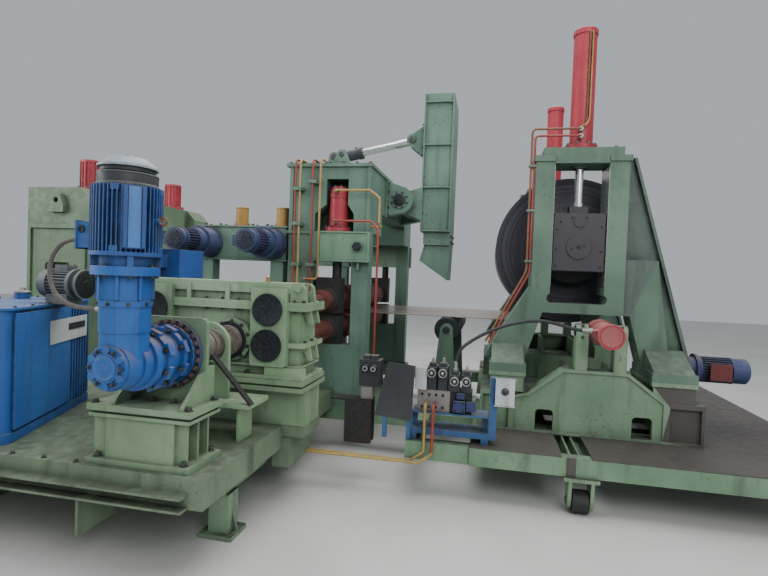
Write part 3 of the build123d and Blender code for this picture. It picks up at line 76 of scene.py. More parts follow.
def newFinish(name):
    material = bpy.data.materials.new(name)
    material.use_nodes = True
    tree = material.node_tree
    tree.nodes.clear()
    shader = addNode(tree, "ShaderNodeBsdfPrincipled")
    addNode(tree, "ShaderNodeOutputMaterial", {0: shader})
    return material, tree, shader, addNode(tree, "ShaderNodeTexCoord").outputs["Object"]


# a pattern of patches, size is how far apart they are in metres
def patches(tree, place, size, low, high, detail=5.0, stretch=None):
    if stretch:
        place = addNode(tree, "ShaderNodeMapping", {0: place, "Scale": stretch})
    cloud = addNode(tree, "ShaderNodeTexNoise", {"Vector": place, "Scale": 1.0 / size, "Detail": detail})
    return addNode(tree, "ShaderNodeMapRange", {"Value": cloud, "From Min": low, "From Max": high},
                   interpolation_type="SMOOTHSTEP")


# lays coats of colour over each other, each coat is (where, how much, colour)
def layCoats(tree, colour, coats):
    for where, share, tint in coats:
        part = addNode(tree, "ShaderNodeMath", {0: where, 1: share}, operation="MULTIPLY")
        colour = addNode(tree, "ShaderNodeMix", {0: part, 6: colour, 7: tint}, data_type="RGBA")
    return colour


# Machine enamel, sprayed on welded plate and cast iron. The eye sees a soft sheen, tone that drifts
# over half a metre, dust on what faces up, painted shade that darkens the corners in patches, runs
# down the walls, chips down to primer and bright or rusty wear along the edges.
def enamel(name, base, light, runs, chips, own):
    material, tree, shader, place = newFinish(name)
    geometry = addNode(tree, "ShaderNodeNewGeometry")
    up = addNode(tree, "ShaderNodeSeparateXYZ", {0: geometry.outputs["Normal"]}).outputs[2]
    rounded = addNode(tree, "ShaderNodeBevel", {"Radius": 0.004}, samples=4)
    edge = addNode(tree, "ShaderNodeVectorMath", {0: rounded, 1: geometry.outputs["Normal"]},
                   operation="DOT_PRODUCT").outputs["Value"]
    edge = addNode(tree, "ShaderNodeMapRange", {"Value": edge, "From Min": 0.985, "From Max": 0.90})
    edge = addNode(tree, "ShaderNodeMath", {0: edge, 1: patches(tree, place, 0.05, 0.42, 0.56)},
                   operation="MULTIPLY")
    # painted shade: near-black laid where ambient occlusion finds corners and recesses, broken into patches
    paintedCornerShade = addNode(tree, "ShaderNodeAmbientOcclusion", {"Distance": 0.16}, samples=6).outputs["AO"]
    paintedCornerShade = addNode(tree, "ShaderNodeMapRange", {"Value": paintedCornerShade, "From Min": 0.85, "From Max": 0.25})
    paintedCornerShade = addNode(tree, "ShaderNodeMath", {0: paintedCornerShade, 1: patches(tree, place, 0.11, 0.15, 0.6)},
                     operation="MULTIPLY")
    facingUp = addNode(tree, "ShaderNodeMapRange", {"Value": up, "From Min": own.get("dustFrom", 0.5),
                                                    "From Max": 0.95})
    dusty = addNode(tree, "ShaderNodeMath", {0: facingUp, 1: patches(tree, place, 0.07, 0.25, 0.6)},
                    operation="MULTIPLY")
    chipped = addNode(tree, "ShaderNodeMath", {0: patches(tree, place, 0.022, 0.58, 0.68, 8.0),
                      1: patches(tree, place, 0.30, 0.44, 0.62)}, operation="MULTIPLY")
    grime = linear(own.get("grime", "#34372f"))
    colour = layCoats(tree, linear(base), [
        (patches(tree, place, 0.55, 0.33, 0.68), 1.0, linear(light)),
        (patches(tree, place, 0.09, 0.50, 0.75, 6.0, (1.0, 1.0, 0.12)), runs, grime),
        (patches(tree, place, 0.008, 0.64, 0.72, 2.0), 0.5, grime),
        (chipped, chips, linear(own.get("primer", "#54473a"))),
        (edge, own.get("edges", 0.55), linear(own.get("edge", "#8b8a7c"))),
        (dusty, own.get("dust", 0.5), linear(own.get("dustColour", "#8c8678"))),
        (paintedCornerShade, own.get("cornerShade", 0.75), linear("#1d1f1b"))])
    tree.links.new(colour.outputs[2], shader.inputs["Base Color"])
    sheen = own.get("rough", 0.44)
    rough = addNode(tree, "ShaderNodeMapRange", {"Value": patches(tree, place, 0.05, 0.2, 0.8, 6.0),
                    "To Min": sheen, "To Max": sheen + 0.26})
    tree.links.new(rough.outputs[0], shader.inputs["Roughness"])
    skin = addNode(tree, "ShaderNodeTexNoise", {"Vector": place, "Scale": 90.0, "Detail": 4.0})
    bump = addNode(tree, "ShaderNodeBump", {"Height": skin, "Strength": 0.16, "Distance": 0.0012,
                                            "Normal": rounded})
    tree.links.new(bump.outputs[0], shader.inputs["Normal"])
    return material


# Bare steel: rolled, ground, turned, chromed or cast. Streaks along its length, a film of oil and
# brown stains; each metal's base colour carries its oxide. The hose's rubber and the conduit's
# plastic take the same coats without metal, dull, with dust in place of rust.
def bareSteel(name, base, light, rust, rough, own):
    material, tree, shader, place = newFinish(name)
    streaks = patches(tree, place, own.get("grain", 0.02), 0.25, 0.75, 6.0, own.get("stretch", (1, 1, 1)))
    colour = layCoats(tree, linear(base), [
        (streaks, 1.0, linear(light)),
        (patches(tree, place, 0.16, 0.48, 0.66, 7.0), rust, linear(own.get("stain", "#4d3a2a"))),
        (patches(tree, place, 0.012, 0.60, 0.72, 3.0), rust, linear(own.get("stain", "#3a2c22")))])
    tree.links.new(colour.outputs[2], shader.inputs["Base Color"])
    shader.inputs["Metallic"].default_value = own.get("metallic", 0.9)
    sheen = addNode(tree, "ShaderNodeMapRange", {"Value": streaks, "To Min": rough, "To Max": rough + 0.2})
    tree.links.new(sheen.outputs[0], shader.inputs["Roughness"])
    rounded = addNode(tree, "ShaderNodeBevel", {"Radius": 0.002}, samples=4)
    bump = addNode(tree, "ShaderNodeBump", {"Height": streaks, "Strength": own.get("bump", 0.1),
                   "Distance": 0.001, "Normal": rounded})
    tree.links.new(bump.outputs[0], shader.inputs["Normal"])
    return material


# Hot rolled strip wound on itself: its side faces show the edges of the turns as fine rings. The
# real turns are 10 mm apart, drawn at 16 mm so that they show.
def woundCoil(name, wound):
    material, tree, shader, place = newFinish(name)
    centred = addNode(tree, "ShaderNodeMapping", {0: place, "Location": (-wound["x"], 0.0, -wound["z"])})
    parts = addNode(tree, "ShaderNodeSeparateXYZ", {0: centred})
    flat = addNode(tree, "ShaderNodeCombineXYZ", {0: parts.outputs[0], 1: parts.outputs[2]})
    radius = addNode(tree, "ShaderNodeVectorMath", {0: flat}, operation="LENGTH").outputs["Value"]
    turns = addNode(tree, "ShaderNodeMath", {0: radius, 1: wound["pitch"]}, operation="DIVIDE")
    turns = addNode(tree, "ShaderNodeMath", {0: turns}, operation="FRACT")
    groove = addNode(tree, "ShaderNodeMapRange", {"Value": turns, "From Min": 0.70, "From Max": 0.95})
    band = addNode(tree, "ShaderNodeCombineXYZ", {0: radius})
    colour = layCoats(tree, linear("#3d3b44"), [
        (patches(tree, band, 0.03, 0.35, 0.65, 3.0), 1.0, linear("#55535e")),
        (groove, 0.5, linear("#1b1b20")),
        (patches(tree, place, 0.20, 0.50, 0.66, 6.0), 0.2, linear("#4b3b30"))])
    tree.links.new(colour.outputs[2], shader.inputs["Base Color"])
    shader.inputs["Metallic"].default_value = 0.6
    shader.inputs["Roughness"].default_value = 0.46
    bump = addNode(tree, "ShaderNodeBump", {"Height": groove, "Strength": 0.5, "Distance": 0.002},
                   invert=True)
    tree.links.new(bump.outputs[0], shader.inputs["Normal"])
    return material


# each paint: colour, lighter colour, how much runs and chips show, and what else is its own, such as how dark
# the painted shade in the corners is
paints = {
    "standEnamel": ("#5e7d6d", "#739180", 0.34, 0.45, {}),
    "armEnamel": ("#5d7d6c", "#719080", 0.3, 0.8, {"edges": 0.9}),
    "beamEnamel": ("#6c8f76", "#83a389", 0.24, 0.3, {}),
    "headEnamel": ("#526d5b", "#698572", 0.42, 0.45, {"dust": 0.8, "dustColour": "#4f5348"}),
    "leftEnamel": ("#52694f", "#657d61", 0.4, 0.5, {}),
    # a darker copy of the head green for the heads' right-hand side: painted shade
    "shadedGreen": ("#52635b", "#62736a", 0.5, 0.5, {}),
    # dark grey-brown: a grime stain on the bridge beam, grime and painted shade on the far right ends of the
    # head bases
    "grimeAndShadePlate": ("#4b4844", "#5a5751", 0.6, 0.6, {}),
    "baseEnamel": ("#6f8d71", "#87a383", 0.52, 0.6, {"dust": 0.9, "dustColour": "#4b4a44"}),
    "bridgeEnamel": ("#668769", "#7f9f7e", 0.48, 0.5, {"dust": 0.7, "dustColour": "#5c5b50"}),
    "caseEnamel": ("#86a380", "#9dba95", 0.36, 0.35, {"cornerShade": 0.55, "dustColour": "#7b7868"}),
    "pedestalEnamel": ("#748f6f", "#8ba784", 0.36, 0.35, {"cornerShade": 0.5, "dustColour": "#6f6d60"}),
    "platformEnamel": ("#62755d", "#788c71", 0.6, 0.6, {"dust": 0.6, "dustColour": "#545348"}),
    "gearEnamel": ("#1d58a6", "#3170ba", 0.24, 0.7, {"rough": 0.36, "primer": "#5a4a42", "dust": 0.95,
                                                     "dustFrom": 0.0, "dustColour": "#83706b"}),
    "greasyBlue": ("#1b2136", "#2a3350", 0.3, 0.5, {"rough": 0.38}),
    # lighter blue than the motor: a painted reflection on the glossy motor panel
    "panelReflectionBlue": ("#4379be", "#5d90cf", 0.3, 0.3, {"rough": 0.36}),
    "navyEnamel": ("#232c56", "#313c6b", 0.4, 0.4, {"rough": 0.4}),
    "motorEnamel": ("#214f93", "#3467ac", 0.24, 0.25, {"rough": 0.4}),
    "oldBlueEnamel": ("#344069", "#47537d", 0.4, 0.5, {"rough": 0.42, "dust": 0.75,
                                                       "dustColour": "#6c6663"}),
    "tankEnamel": ("#2058a3", "#316cb4", 0.45, 0.5, {}),
    "channelEnamel": ("#274f86", "#3d6896", 0.5, 0.8, {}),
    "redEnamel": ("#a32a38", "#bb3d49", 0.18, 0.25, {"rough": 0.34, "grime": "#4a1a18", "cornerShade": 0.5,
                                                     "dustColour": "#a08079"}),
    "pinkEnamel": ("#923f45", "#ab5f61", 0.3, 0.3, {"rough": 0.4, "dustColour": "#b3938c"}),
    "manifoldPaint": ("#827b77", "#9b9590", 0.5, 0.7, {}),
    "postOchre": ("#a27a37", "#b98f4c", 0.7, 1.0, {"primer": "#39332b"}),
    "greyEnamel": ("#50585d", "#6b7479", 0.4, 0.5, {}),
    "charcoalPaint": ("#33353a", "#44474c", 0.25, 0.3, {"rough": 0.45}),
    "blackEnamel": ("#24272d", "#393e46", 0.3, 0.3, {"rough": 0.42}),
    "whiteEnamel": ("#c2c5c8", "#d6d8da", 0.35, 0.3, {"rough": 0.4}),
    "yellowEnamel": ("#ad8e4a", "#c4a865", 0.4, 0.6, {"rough": 0.38, "primer": "#6b4a2c"}),
    "pipeRedEnamel": ("#96382f", "#ad4a3c", 0.35, 0.4, {"rough": 0.38}),
    "deckPaint": ("#413d3a", "#514c48", 0.3, 0.9, {"dust": 0.5, "dustColour": "#4f4a45"}),
    "capPaint": ("#8fa3b1", "#aab9c4", 0.3, 0.2, {"rough": 0.42}),
    "lampRed": ("#6e2f30", "#86413e", 0.3, 0.3, {"rough": 0.4}),
}
# bare metals, rubber and plastic: colour, lighter colour, how much rust or dust shows, roughness,
# and what else is its own
steels = {
    "chromedSteel": ("#c3c6ca", "#dcdee1", 0.04, 0.1, {"bump": 0.0}),
    "guideSteel": ("#b8b8b4", "#dadad6", 0.12, 0.24, {}),
    "rolledStrip": ("#ab9f93", "#bfb3a7", 0.08, 0.22, {"grain": 0.05, "stretch": (0.15, 1, 1),
                                                       "stain": "#6a5a48"}),
    "turnedSteel": ("#6c6f71", "#8c9093", 0.3, 0.34, {}),
    "blockSteel": ("#3c3a3f", "#48464c", 0.1, 0.4, {"metallic": 0.35}),
    "blackSteel": ("#22272b", "#383f45", 0.2, 0.42, {"metallic": 0.5}),
    "castIron": ("#2b2c2d", "#3f4040", 0.45, 0.55, {"metallic": 0.4, "bump": 0.3}),
    "rustySteel": ("#5f4038", "#864c44", 0.6, 0.5, {"metallic": 0.3, "stain": "#33231b", "bump": 0.3}),
    "boltSteel": ("#4c4f4d", "#6d706d", 0.45, 0.38, {}),
    "wornBolt": ("#5b4b49", "#7a6763", 0.4, 0.45, {"metallic": 0.4}),
    "brownPipe": ("#74503c", "#8d6749", 0.4, 0.45, {"metallic": 0.2}),
    "plateAluminium": ("#a9aba8", "#c3c5c1", 0.08, 0.34, {}),
    "brass": ("#a8894a", "#c2a566", 0.25, 0.32, {}),
    "zincSteel": ("#8d8f8a", "#aeb0aa", 0.25, 0.36, {}),
    "hoseRubber": ("#24262a", "#34373b", 0.1, 0.58, {"metallic": 0.0, "stain": "#57524a"}),
    "conduitPlastic": ("#5e5954", "#716b65", 0.2, 0.55, {"metallic": 0.0, "stain": "#3f3b37"}),
    "wornShaft": ("#6e665e", "#8d857b", 0.5, 0.45, {"metallic": 0.35, "stain": "#4a3c33"}),
}
materials = {name: enamel(name, *paint) for name, paint in paints.items()}
materials.update({name: bareSteel(name, *steel) for name, steel in steels.items()})
materials["coilEdges"] = woundCoil("coilEdges", {"x": headX, "z": coilZ, "pitch": 0.016})
print("finishes made:", len(materials))

nodeFinish = {
    "standEnamel": ["stand_housings", "stand_top_plate", "arm_brackets", "leveller_frame"],
    "leftEnamel": ["left_housings"],
    "armEnamel": ["opening_arm"],
    "beamEnamel": ["stand_crossbeams"],
    "headEnamel": ["head_frame_front", "head_frame_rear", "support_brackets", "traverse_rod_front"],
    "baseEnamel": ["head_bases", "roller_yokes", "bridge_feet"],
    "bridgeEnamel": ["bridge_frame"],
    "caseEnamel": ["gear_case", "gear_case_cover"],
    "pedestalEnamel": ["gear_plinth", "drive_pedestal"],
    "platformEnamel": ["platform"],
    "deckPaint": ["deck_plates"],
    "gearEnamel": ["planetary_gear", "bevel_case"],
    "motorEnamel": ["drive_motor"],
    "oldBlueEnamel": ["leveller_gear_motors", "base_gear_motor"],
    "tankEnamel": ["oil_tank"],
    "greyEnamel": ["pump_motor"],
    "redEnamel": ["lift_cylinder_front", "lift_cylinder_rear", "screwdown_cylinders", "left_cylinders"],
    "pinkEnamel": ["traverse_cylinders"],
    "blackEnamel": ["valve_manifold", "arm_cylinder"],
    # the bridge rollers' dark cast iron is partly their own colour, partly painted shade
    "castIron": ["upper_chocks", "lower_chocks", "bridge_roller_front", "bridge_roller_rear"],
    "wornShaft": ["drive_coupling"],
    "chromedSteel": ["arm_rod", "lift_rod_front", "lift_rod_rear"],
    "rolledStrip": ["strip"],
    "turnedSteel": ["leveller_rolls"],
    "blockSteel": ["slide_block_front", "slide_block_rear"],
    "blackSteel": ["support_roller", "cone_front", "cone_rear"],
    "rustySteel": ["upper_roll", "lower_roll"],
    "coilEdges": ["coil"],
    "yellowEnamel": ["oil_pipes"],
    "channelEnamel": ["valve_stand"],
    "hoseRubber": ["traverse_hose"],
    "conduitPlastic": ["motor_conduit"],
}
for finish, nodes in nodeFinish.items():
    for node in nodes:
        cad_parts[node].data.materials.clear()
        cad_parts[node].data.materials.append(materials[finish])
unpainted = set(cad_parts) - {node for nodes in nodeFinish.values() for node in nodes}
print("nodes painted, without a finish:", sorted(unpainted))

# Where one casting or one node shows more than one finish: which faces take which, by their middle
secondFinish = {
    "drive_motor": [("charcoalPaint", lambda p: 1.846 < p.z <= 1.927), ("capPaint", lambda p: p.z > 1.927)],
    "base_gear_motor": [("lampRed", lambda p: p.y < 0.025 - 0.095 and 2.80 < p.x < 2.96)],
    "traverse_cylinders": [("redEnamel", lambda p: p.y < -0.864 or p.y > 2.434)],
    "oil_pipes": [("pipeRedEnamel", lambda p: p.z > 0.725 and -0.30 < p.x and p.z < 1.95 and p.y < -0.40),
                  ("pipeRedEnamel", lambda p: 0.74 < p.x < 0.79 and p.y < -0.97 and p.z > 0.35),
                  ("pipeRedEnamel", lambda p: abs(p.x + 0.553) < 0.012 or abs(p.x + 0.400) < 0.012)],
    "planetary_gear": [("greasyBlue", lambda p: abs(p.y + 2.137) < 0.003)],
    # the right-hand part of each head frame takes the darker green: painted shade
    "head_frame_front": [("shadedGreen", lambda p: p.x > headX + 0.352 and p.z > 1.34)],
    "head_frame_rear": [("shadedGreen", lambda p: p.x > headX + 0.352 and p.z > 1.34)],
    # the far right ends of the head bases, front and rear, are painted dark: partly grime, partly painted
    # shade
    "head_bases": [("grimeAndShadePlate", lambda p: p.x > 2.37 and p.z < 0.75 and (p.y < -0.53 or p.y > 2.10))],
    "valve_manifold": [("whiteEnamel", lambda p: p.x > 1.16 or (p.x < 0.697 and p.z > 0.7095 and p.x > 0.61)),
                       ("manifoldPaint", lambda p: 0.634 <= p.x <= 0.862 and p.z < 0.7085),
                       ("manifoldPaint", lambda p: 0.20 < p.x < 0.30 and p.z < 0.688)],
    "leveller_frame": [("postOchre", lambda p: p.z > 1.892 and (p.x > -1.20))],
    "valve_stand": [("charcoalPaint", lambda p: p.x < 0.62 and p.y < -1.020 and p.z > 0.486),
                    ("castIron", lambda p: p.x < 0.299)],
}
for node, rules in secondFinish.items():
    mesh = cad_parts[node].data
    for finish, chosen in rules:
        mesh.materials.append(materials[finish])
        index = len(mesh.materials) - 1
        for face in mesh.polygons:
            if chosen(face.center):
                face.material_index = index
print("second finishes set")

# Camera where the photograph was taken
view = {"place": (1.100, -4.515, 1.500), "left": 11.7, "down": 1.5, "roll": 2.2, "lens": 24.0}


def placeCamera():
    left, down, roll = (math.radians(view[key]) for key in ("left", "down", "roll"))
    ahead = Vector((-math.sin(left) * math.cos(down), math.cos(left) * math.cos(down), -math.sin(down)))
    level = Vector((math.cos(left), math.sin(left), 0.0))
    upright = level.cross(ahead)
    right = level * math.cos(roll) + upright * math.sin(roll)
    top = upright * math.cos(roll) - level * math.sin(roll)
    data = bpy.data.cameras.new("camera")
    data.lens = view["lens"]
    data.sensor_width = 36.0
    data.clip_end = 100.0
    camera = bpy.data.objects.new("camera", data)
    turned = Matrix((right, top, -ahead)).transposed().to_4x4()
    camera.matrix_world = Matrix.Translation(Vector(view["place"])) @ turned
    bpy.context.scene.collection.objects.link(camera)
    bpy.context.scene.camera = camera


placeCamera()

# Free hoses: the route's points are those of the solids, in metres
hoses = {
    "motorConduit": {"node": "motor_conduit", "diameter": 0.021, "length": 0.700, "slot": "gear_grey",
                     "finish": "conduitPlastic",
                     "route": [(-0.7213, motorY, 1.612), (-0.804, motorY, 1.612), (-0.882, motorY, 1.583),
                               (-0.928, motorY, 1.515), (-0.934, motorY, 1.428), (-0.896, motorY, 1.340),
                               (-0.815, motorY, 1.299), (-0.722, motorY, 1.290), (-0.6267, motorY, 1.290)]},
    "traverseHose": {"node": "traverse_hose", "diameter": 0.024, "length": 1.115, "slot": "valve_black",
                     "finish": "hoseRubber",
                     "route": [(1.7997, -0.770, 1.165), (1.690, -0.770, 1.165), (1.570, -0.790, 1.205),
                               (1.440, -0.812, 1.225), (1.280, -0.842, 1.200), (1.130, -0.870, 1.145),
                               (0.988, -0.898, 1.065), (0.888, -0.922, 0.975), (0.888, -0.922, 0.8493)]},
}


def layHose(name, hose):
    curve = bpy.data.curves.new(name, "CURVE")
    curve.dimensions = "3D"
    curve.bevel_depth = hose["diameter"] / 2
    curve.bevel_resolution = 4
    curve.use_fill_caps = True
    spline = curve.splines.new("NURBS")
    spline.points.add(len(hose["route"]) - 1)
    for point, spot in zip(spline.points, hose["route"]):
        point.co = (*spot, 1.0)
    spline.order_u = 3
    spline.use_endpoint_u = True
    spline.resolution_u = 12
    curve.materials.append(materials[hose["finish"]])
    piece = bpy.data.objects.new(name, curve)
    bpy.context.scene.collection.objects.link(piece)
    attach(piece, "base")
    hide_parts(hose["node"])
    return piece


hosePieces = {name: layHose(name, hose) for name, hose in hoses.items()}
print("camera and hoses placed")


# Shapes that the details share

def addPiece(name, body, mesh, finish, smooth=True, bevel=0.0):
    piece = bpy.data.objects.new(name, mesh)
    bpy.context.scene.collection.objects.link(piece)
    if not mesh.materials:
        mesh.materials.append(materials[finish])
    if smooth:
        mesh.shade_smooth()
        mesh.set_sharp_from_angle(angle=math.radians(32))
    if bevel:
        modifier = piece.modifiers.new("edges", "BEVEL")
        modifier.width = bevel
        modifier.segments = 2
        modifier.limit_method = "ANGLE"
    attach(piece, body)
    return piece


def meshOf(name, make):
    cage = bmesh.new()
    make(cage)
    bmesh.ops.recalc_face_normals(cage, faces=cage.faces)
    mesh = bpy.data.meshes.new(name)
    cage.to_mesh(mesh)
    cage.free()
    return mesh


def axesAlong(aim):
    aim = Vector(aim).normalized()
    start = Vector((0, 0, 1)) if abs(aim.z) < 0.9 else Vector((1, 0, 0))
    first = start.cross(aim).normalized()
    return first, aim.cross(first), aim


def ringOf(cage, middle, first, second, radius, count):
    return [cage.verts.new(middle + (first * math.cos(a) + second * math.sin(a)) * radius)
            for a in (2 * math.pi * n / count for n in range(count))]


# a skin over rings of corners, closed at its ends or back onto its first ring
def skinRings(cage, rings, loop=False):
    for low, high in zip(rings, rings[1:] + rings[:1] * loop):
        for n, corner in enumerate(low):
            after = (n + 1) % len(low)
            cage.faces.new((corner, low[after], high[after], high[n]))
    if not loop:
        cage.faces.new(rings[0][::-1])
        cage.faces.new(rings[-1])


# turned parts: each is (start, aim, profile), the profile (distance along the aim, radius)
def turnedPiece(name, turns, finish, sides=36, body="base"):
    def make(cage):
        for start, aim, profile in turns:
            first, second, along = axesAlong(aim)
            skinRings(cage, [ringOf(cage, Vector(start) + along * far, first, second, radius, sides)
                             for far, radius in profile])
    return addPiece(name, body, meshOf(name, make), finish)


def platePiece(name, plates, finish, bevel=0.002, body="base"):
    def make(cage):
        for low, high in plates:
            corners = [cage.verts.new((x, y, z)) for x in (low[0], high[0]) for y in (low[1], high[1])
                       for z in (low[2], high[2])]
            for quad in ((0, 1, 3, 2), (4, 6, 7, 5), (0, 4, 5, 1), (2, 3, 7, 6), (0, 2, 6, 4), (1, 5, 7, 3)):
                cage.faces.new([corners[n] for n in quad])
    return addPiece(name, body, meshOf(name, make), finish, False, bevel)


# pipes that are held all the way, with bends of the given radius at the corners
def pipePiece(name, routes, diameter, finish, bend=0.03, body="base"):
    def make(cage):
        for route in routes:
            points = [Vector(p) for p in route]
            path = [points[0]]
            for before, here, after in zip(points, points[1:], points[2:]):
                reach = min(bend, 0.45 * (here - before).length, 0.45 * (after - here).length)
                near = here + (before - here).normalized() * reach
                far = here + (after - here).normalized() * reach
                for n in range(7):
                    t = n / 6
                    path.append(near * (1 - t) ** 2 + here * 2 * t * (1 - t) + far * t ** 2)
            path.append(points[-1])
            rings = []
            first = None
            for n, spot in enumerate(path):
                aim = (path[min(n + 1, len(path) - 1)] - path[max(n - 1, 0)]).normalized()
                if first is None:
                    first = axesAlong(aim)[0]
                first = (first - aim * first.dot(aim)).normalized()
                rings.append(ringOf(cage, spot, first, aim.cross(first), diameter / 2, 12))
            skinRings(cage, rings)
    return addPiece(name, body, meshOf(name, make), finish)


# Geometry Nodes put one shape on each point, turned as the vector says that is kept with the point
def newTree(name, sizes):
    tree = bpy.data.node_groups.new(name, "GeometryNodeTree")
    for label, kind in (("Points", "Geometry"), *sizes, ("Finish", "Material")):
        tree.interface.new_socket(label, in_out="INPUT", socket_type="NodeSocket" + kind)
    tree.interface.new_socket("Made", in_out="OUTPUT", socket_type="NodeSocketGeometry")
    aim = addNode(tree, "GeometryNodeInputNamedAttribute", {"Name": "aim"}, data_type="FLOAT_VECTOR")
    return tree, addNode(tree, "NodeGroupInput").outputs, aim


def closeTree(tree, given, shape, turn):
    placed = addNode(tree, "GeometryNodeInstanceOnPoints", {"Points": given["Points"], "Instance": shape,
                     "Rotation": turn})
    real = addNode(tree, "GeometryNodeRealizeInstances", {"Geometry": placed})
    painted = addNode(tree, "GeometryNodeSetMaterial", {"Geometry": real, "Material": given["Finish"]})
    addNode(tree, "NodeGroupOutput", {0: painted})
    return tree


# a washer, a hexagon head and its round crown, standing along the point's vector
def makeBoltTree():
    tree, given, aim = newTree("fasteners", [(label, "Float") for label in
                                             ("Across flats", "Head height", "Washer radius")])
    flats, high = given["Across flats"], given["Head height"]
    together = addNode(tree, "GeometryNodeJoinGeometry")
    for corners, share, lift in ((6, 0.577, 0.62), (12, 0.46, 0.70)):
        radius = addNode(tree, "ShaderNodeMath", {0: flats, 1: share}, operation="MULTIPLY")
        head = addNode(tree, "GeometryNodeMeshCylinder",
                       {"Vertices": corners, "Radius": radius, "Depth": high})
        middle = addNode(tree, "ShaderNodeMath", {0: high, 1: lift}, operation="MULTIPLY")
        lifted = addNode(tree, "GeometryNodeTransform", {"Geometry": head,
                         "Translation": addNode(tree, "ShaderNodeCombineXYZ", {2: middle})})
        tree.links.new(lifted.outputs[0], together.inputs[0])
    thin = addNode(tree, "ShaderNodeMath", {0: high, 1: 0.25}, operation="MULTIPLY")
    washer = addNode(tree, "GeometryNodeMeshCylinder", {"Vertices": 16, "Radius": given["Washer radius"],
                     "Depth": thin})
    tree.links.new(washer.outputs[0], together.inputs[0])
    turn = addNode(tree, "FunctionNodeAlignRotationToVector", {"Vector": aim}, axis="Z")
    return closeTree(tree, given, together, turn)


# a small box for slats, clamps and plates, turned by the point's vector
def makeBarTree():
    tree, given, aim = newTree("bars", [("Bar size", "Vector")])
    bar = addNode(tree, "GeometryNodeMeshCube", {"Size": given["Bar size"]})
    return closeTree(tree, given, bar, aim)


boltTree, barTree = makeBoltTree(), makeBarTree()


# runs a tree over points that each keep a vector, and turns the result into a plain mesh
def growOnPoints(name, spots, tree, values, body):
    mesh = bpy.data.meshes.new(name + "Points")
    mesh.from_pydata([tuple(spot) for spot, aim in spots], [], [])
    kept = mesh.attributes.new("aim", "FLOAT_VECTOR", "POINT")
    for n, (spot, aim) in enumerate(spots):
        kept.data[n].vector = tuple(aim)
    holder = bpy.data.objects.new(name + "Points", mesh)
    bpy.context.scene.collection.objects.link(holder)
    modifier = holder.modifiers.new("grow", "NODES")
    modifier.node_group = tree
    for item in tree.interface.items_tree:
        if item.in_out == "INPUT" and item.name in values:
            modifier[item.identifier] = values[item.name]
    bpy.context.view_layer.update()
    graph = bpy.context.evaluated_depsgraph_get()
    made = bpy.data.meshes.new_from_object(holder.evaluated_get(graph), depsgraph=graph)
    bpy.data.objects.remove(holder)
    made.name = name
    if "aim" in made.attributes:
        made.attributes.remove(made.attributes["aim"])
    return addPiece(name, body, made, None, False)


def boltPiece(name, spots, size, finish="boltSteel", body="base"):
    return growOnPoints(name, spots, boltTree,
                        {"Across flats": size, "Head height": size * 0.62, "Washer radius": size * 0.80,
                         "Finish": materials[finish]}, body)


def barPiece(name, spots, size, finish, body="base"):
    return growOnPoints(name, spots, barTree, {"Bar size": size, "Finish": materials[finish]},
                        body)


def ringSpots(centre, aim, radius, count=8, phase=0.5):
    first, second, along = axesAlong(aim)
    return [(Vector(centre) + (first * math.cos(a) + second * math.sin(a)) * radius, along)
            for a in (2 * math.pi * (n + phase) / count for n in range(count))]


def rowSpots(start, end, count, aim):
    start, end = Vector(start), Vector(end)
    return [(start.lerp(end, n / max(count - 1, 1)), Vector(aim)) for n in range(count)]


front = (0, -1, 0)
upward = (0, 0, 1)
bothSides = (("Front", -1), ("Rear", 1))

# Hose ends: a gland at the motor's box, swivel fittings at the valve and the cylinder
glandProfile = [(0.0, 0.019), (0.012, 0.019), (0.014, 0.016), (0.024, 0.0155), (0.04, 0.0125),
                (0.046, 0.0118)]
swivelProfile = [(0.0, 0.022), (0.016, 0.022), (0.018, 0.018), (0.034, 0.0175), (0.06, 0.0145),
                 (0.064, 0.0132)]
conduitEnds = turnedPiece("conduitGlands",
                          [((-0.721, motorY, 1.612), (-1, 0, 0), glandProfile),
                           ((-0.6264, motorY, 1.29), (-1, 0, 0), glandProfile)],
                          "zincSteel", 24)
hoseEnds = turnedPiece("hoseFittings",
                       [((1.8, -0.77, 1.165), (-1, 0, 0), swivelProfile),
                        ((0.888, -0.922, 0.8492), (0, 0, 1), swivelProfile)],
                       "zincSteel", sides=24)
print("hose ends made")

# Drive: planetary stage, bevel case and motor
drive = {"flangeFaces": ((-2.137, front), (-2.087, (0, 1, 0))), "flangeBolts": 24, "flangeBoltR": 0.168,
         "lugRings": ((-2.227, 0.142), (-2.343, 0.136))}
boltPiece("planetaryBolts",
          [spot for y, aim in drive["flangeFaces"]
           for spot in ringSpots((driveX, y, driveZ), aim, drive["flangeBoltR"], drive["flangeBolts"])],
          0.019, "wornBolt")
boltPiece("lugBolts",
          [spot for y, radius in drive["lugRings"]
           for spot in ringSpots((driveX, y, driveZ), front, radius)],
          0.018)
boltPiece("bevelCoverBolts", ringSpots((driveX, -2.592, driveZ), front, 0.081, 6, 0.0), 0.012)
turnedPiece("bevelCoverDiscs",
            [((driveX, -2.5928, driveZ), front,
              [(0.0, 0.056), (0.004, 0.056), (0.0055, 0.047), (0.003, 0.043), (0.003, 0.02), (0.007, 0.018),
               (0.007, 0.004)])],
            "gearEnamel")
boltPiece("motorFlangeBolts",
          ringSpots((driveX, motorY, motorZ), upward, 0.132, 8, 0.0)
          + ringSpots((driveX, motorY, motorZ - 0.04), (0, 0, -1), 0.132, 8, 0.0),
          0.015)
collarBolts = []
for n in range(8):
    turn = math.radians(45 * n)
    out = Vector((math.cos(turn), math.sin(turn), 0))
    collarBolts.append((Vector((driveX, motorY, 1.326)) + out * 0.1099, out))
boltPiece("adapterBolts", collarBolts, 0.012)
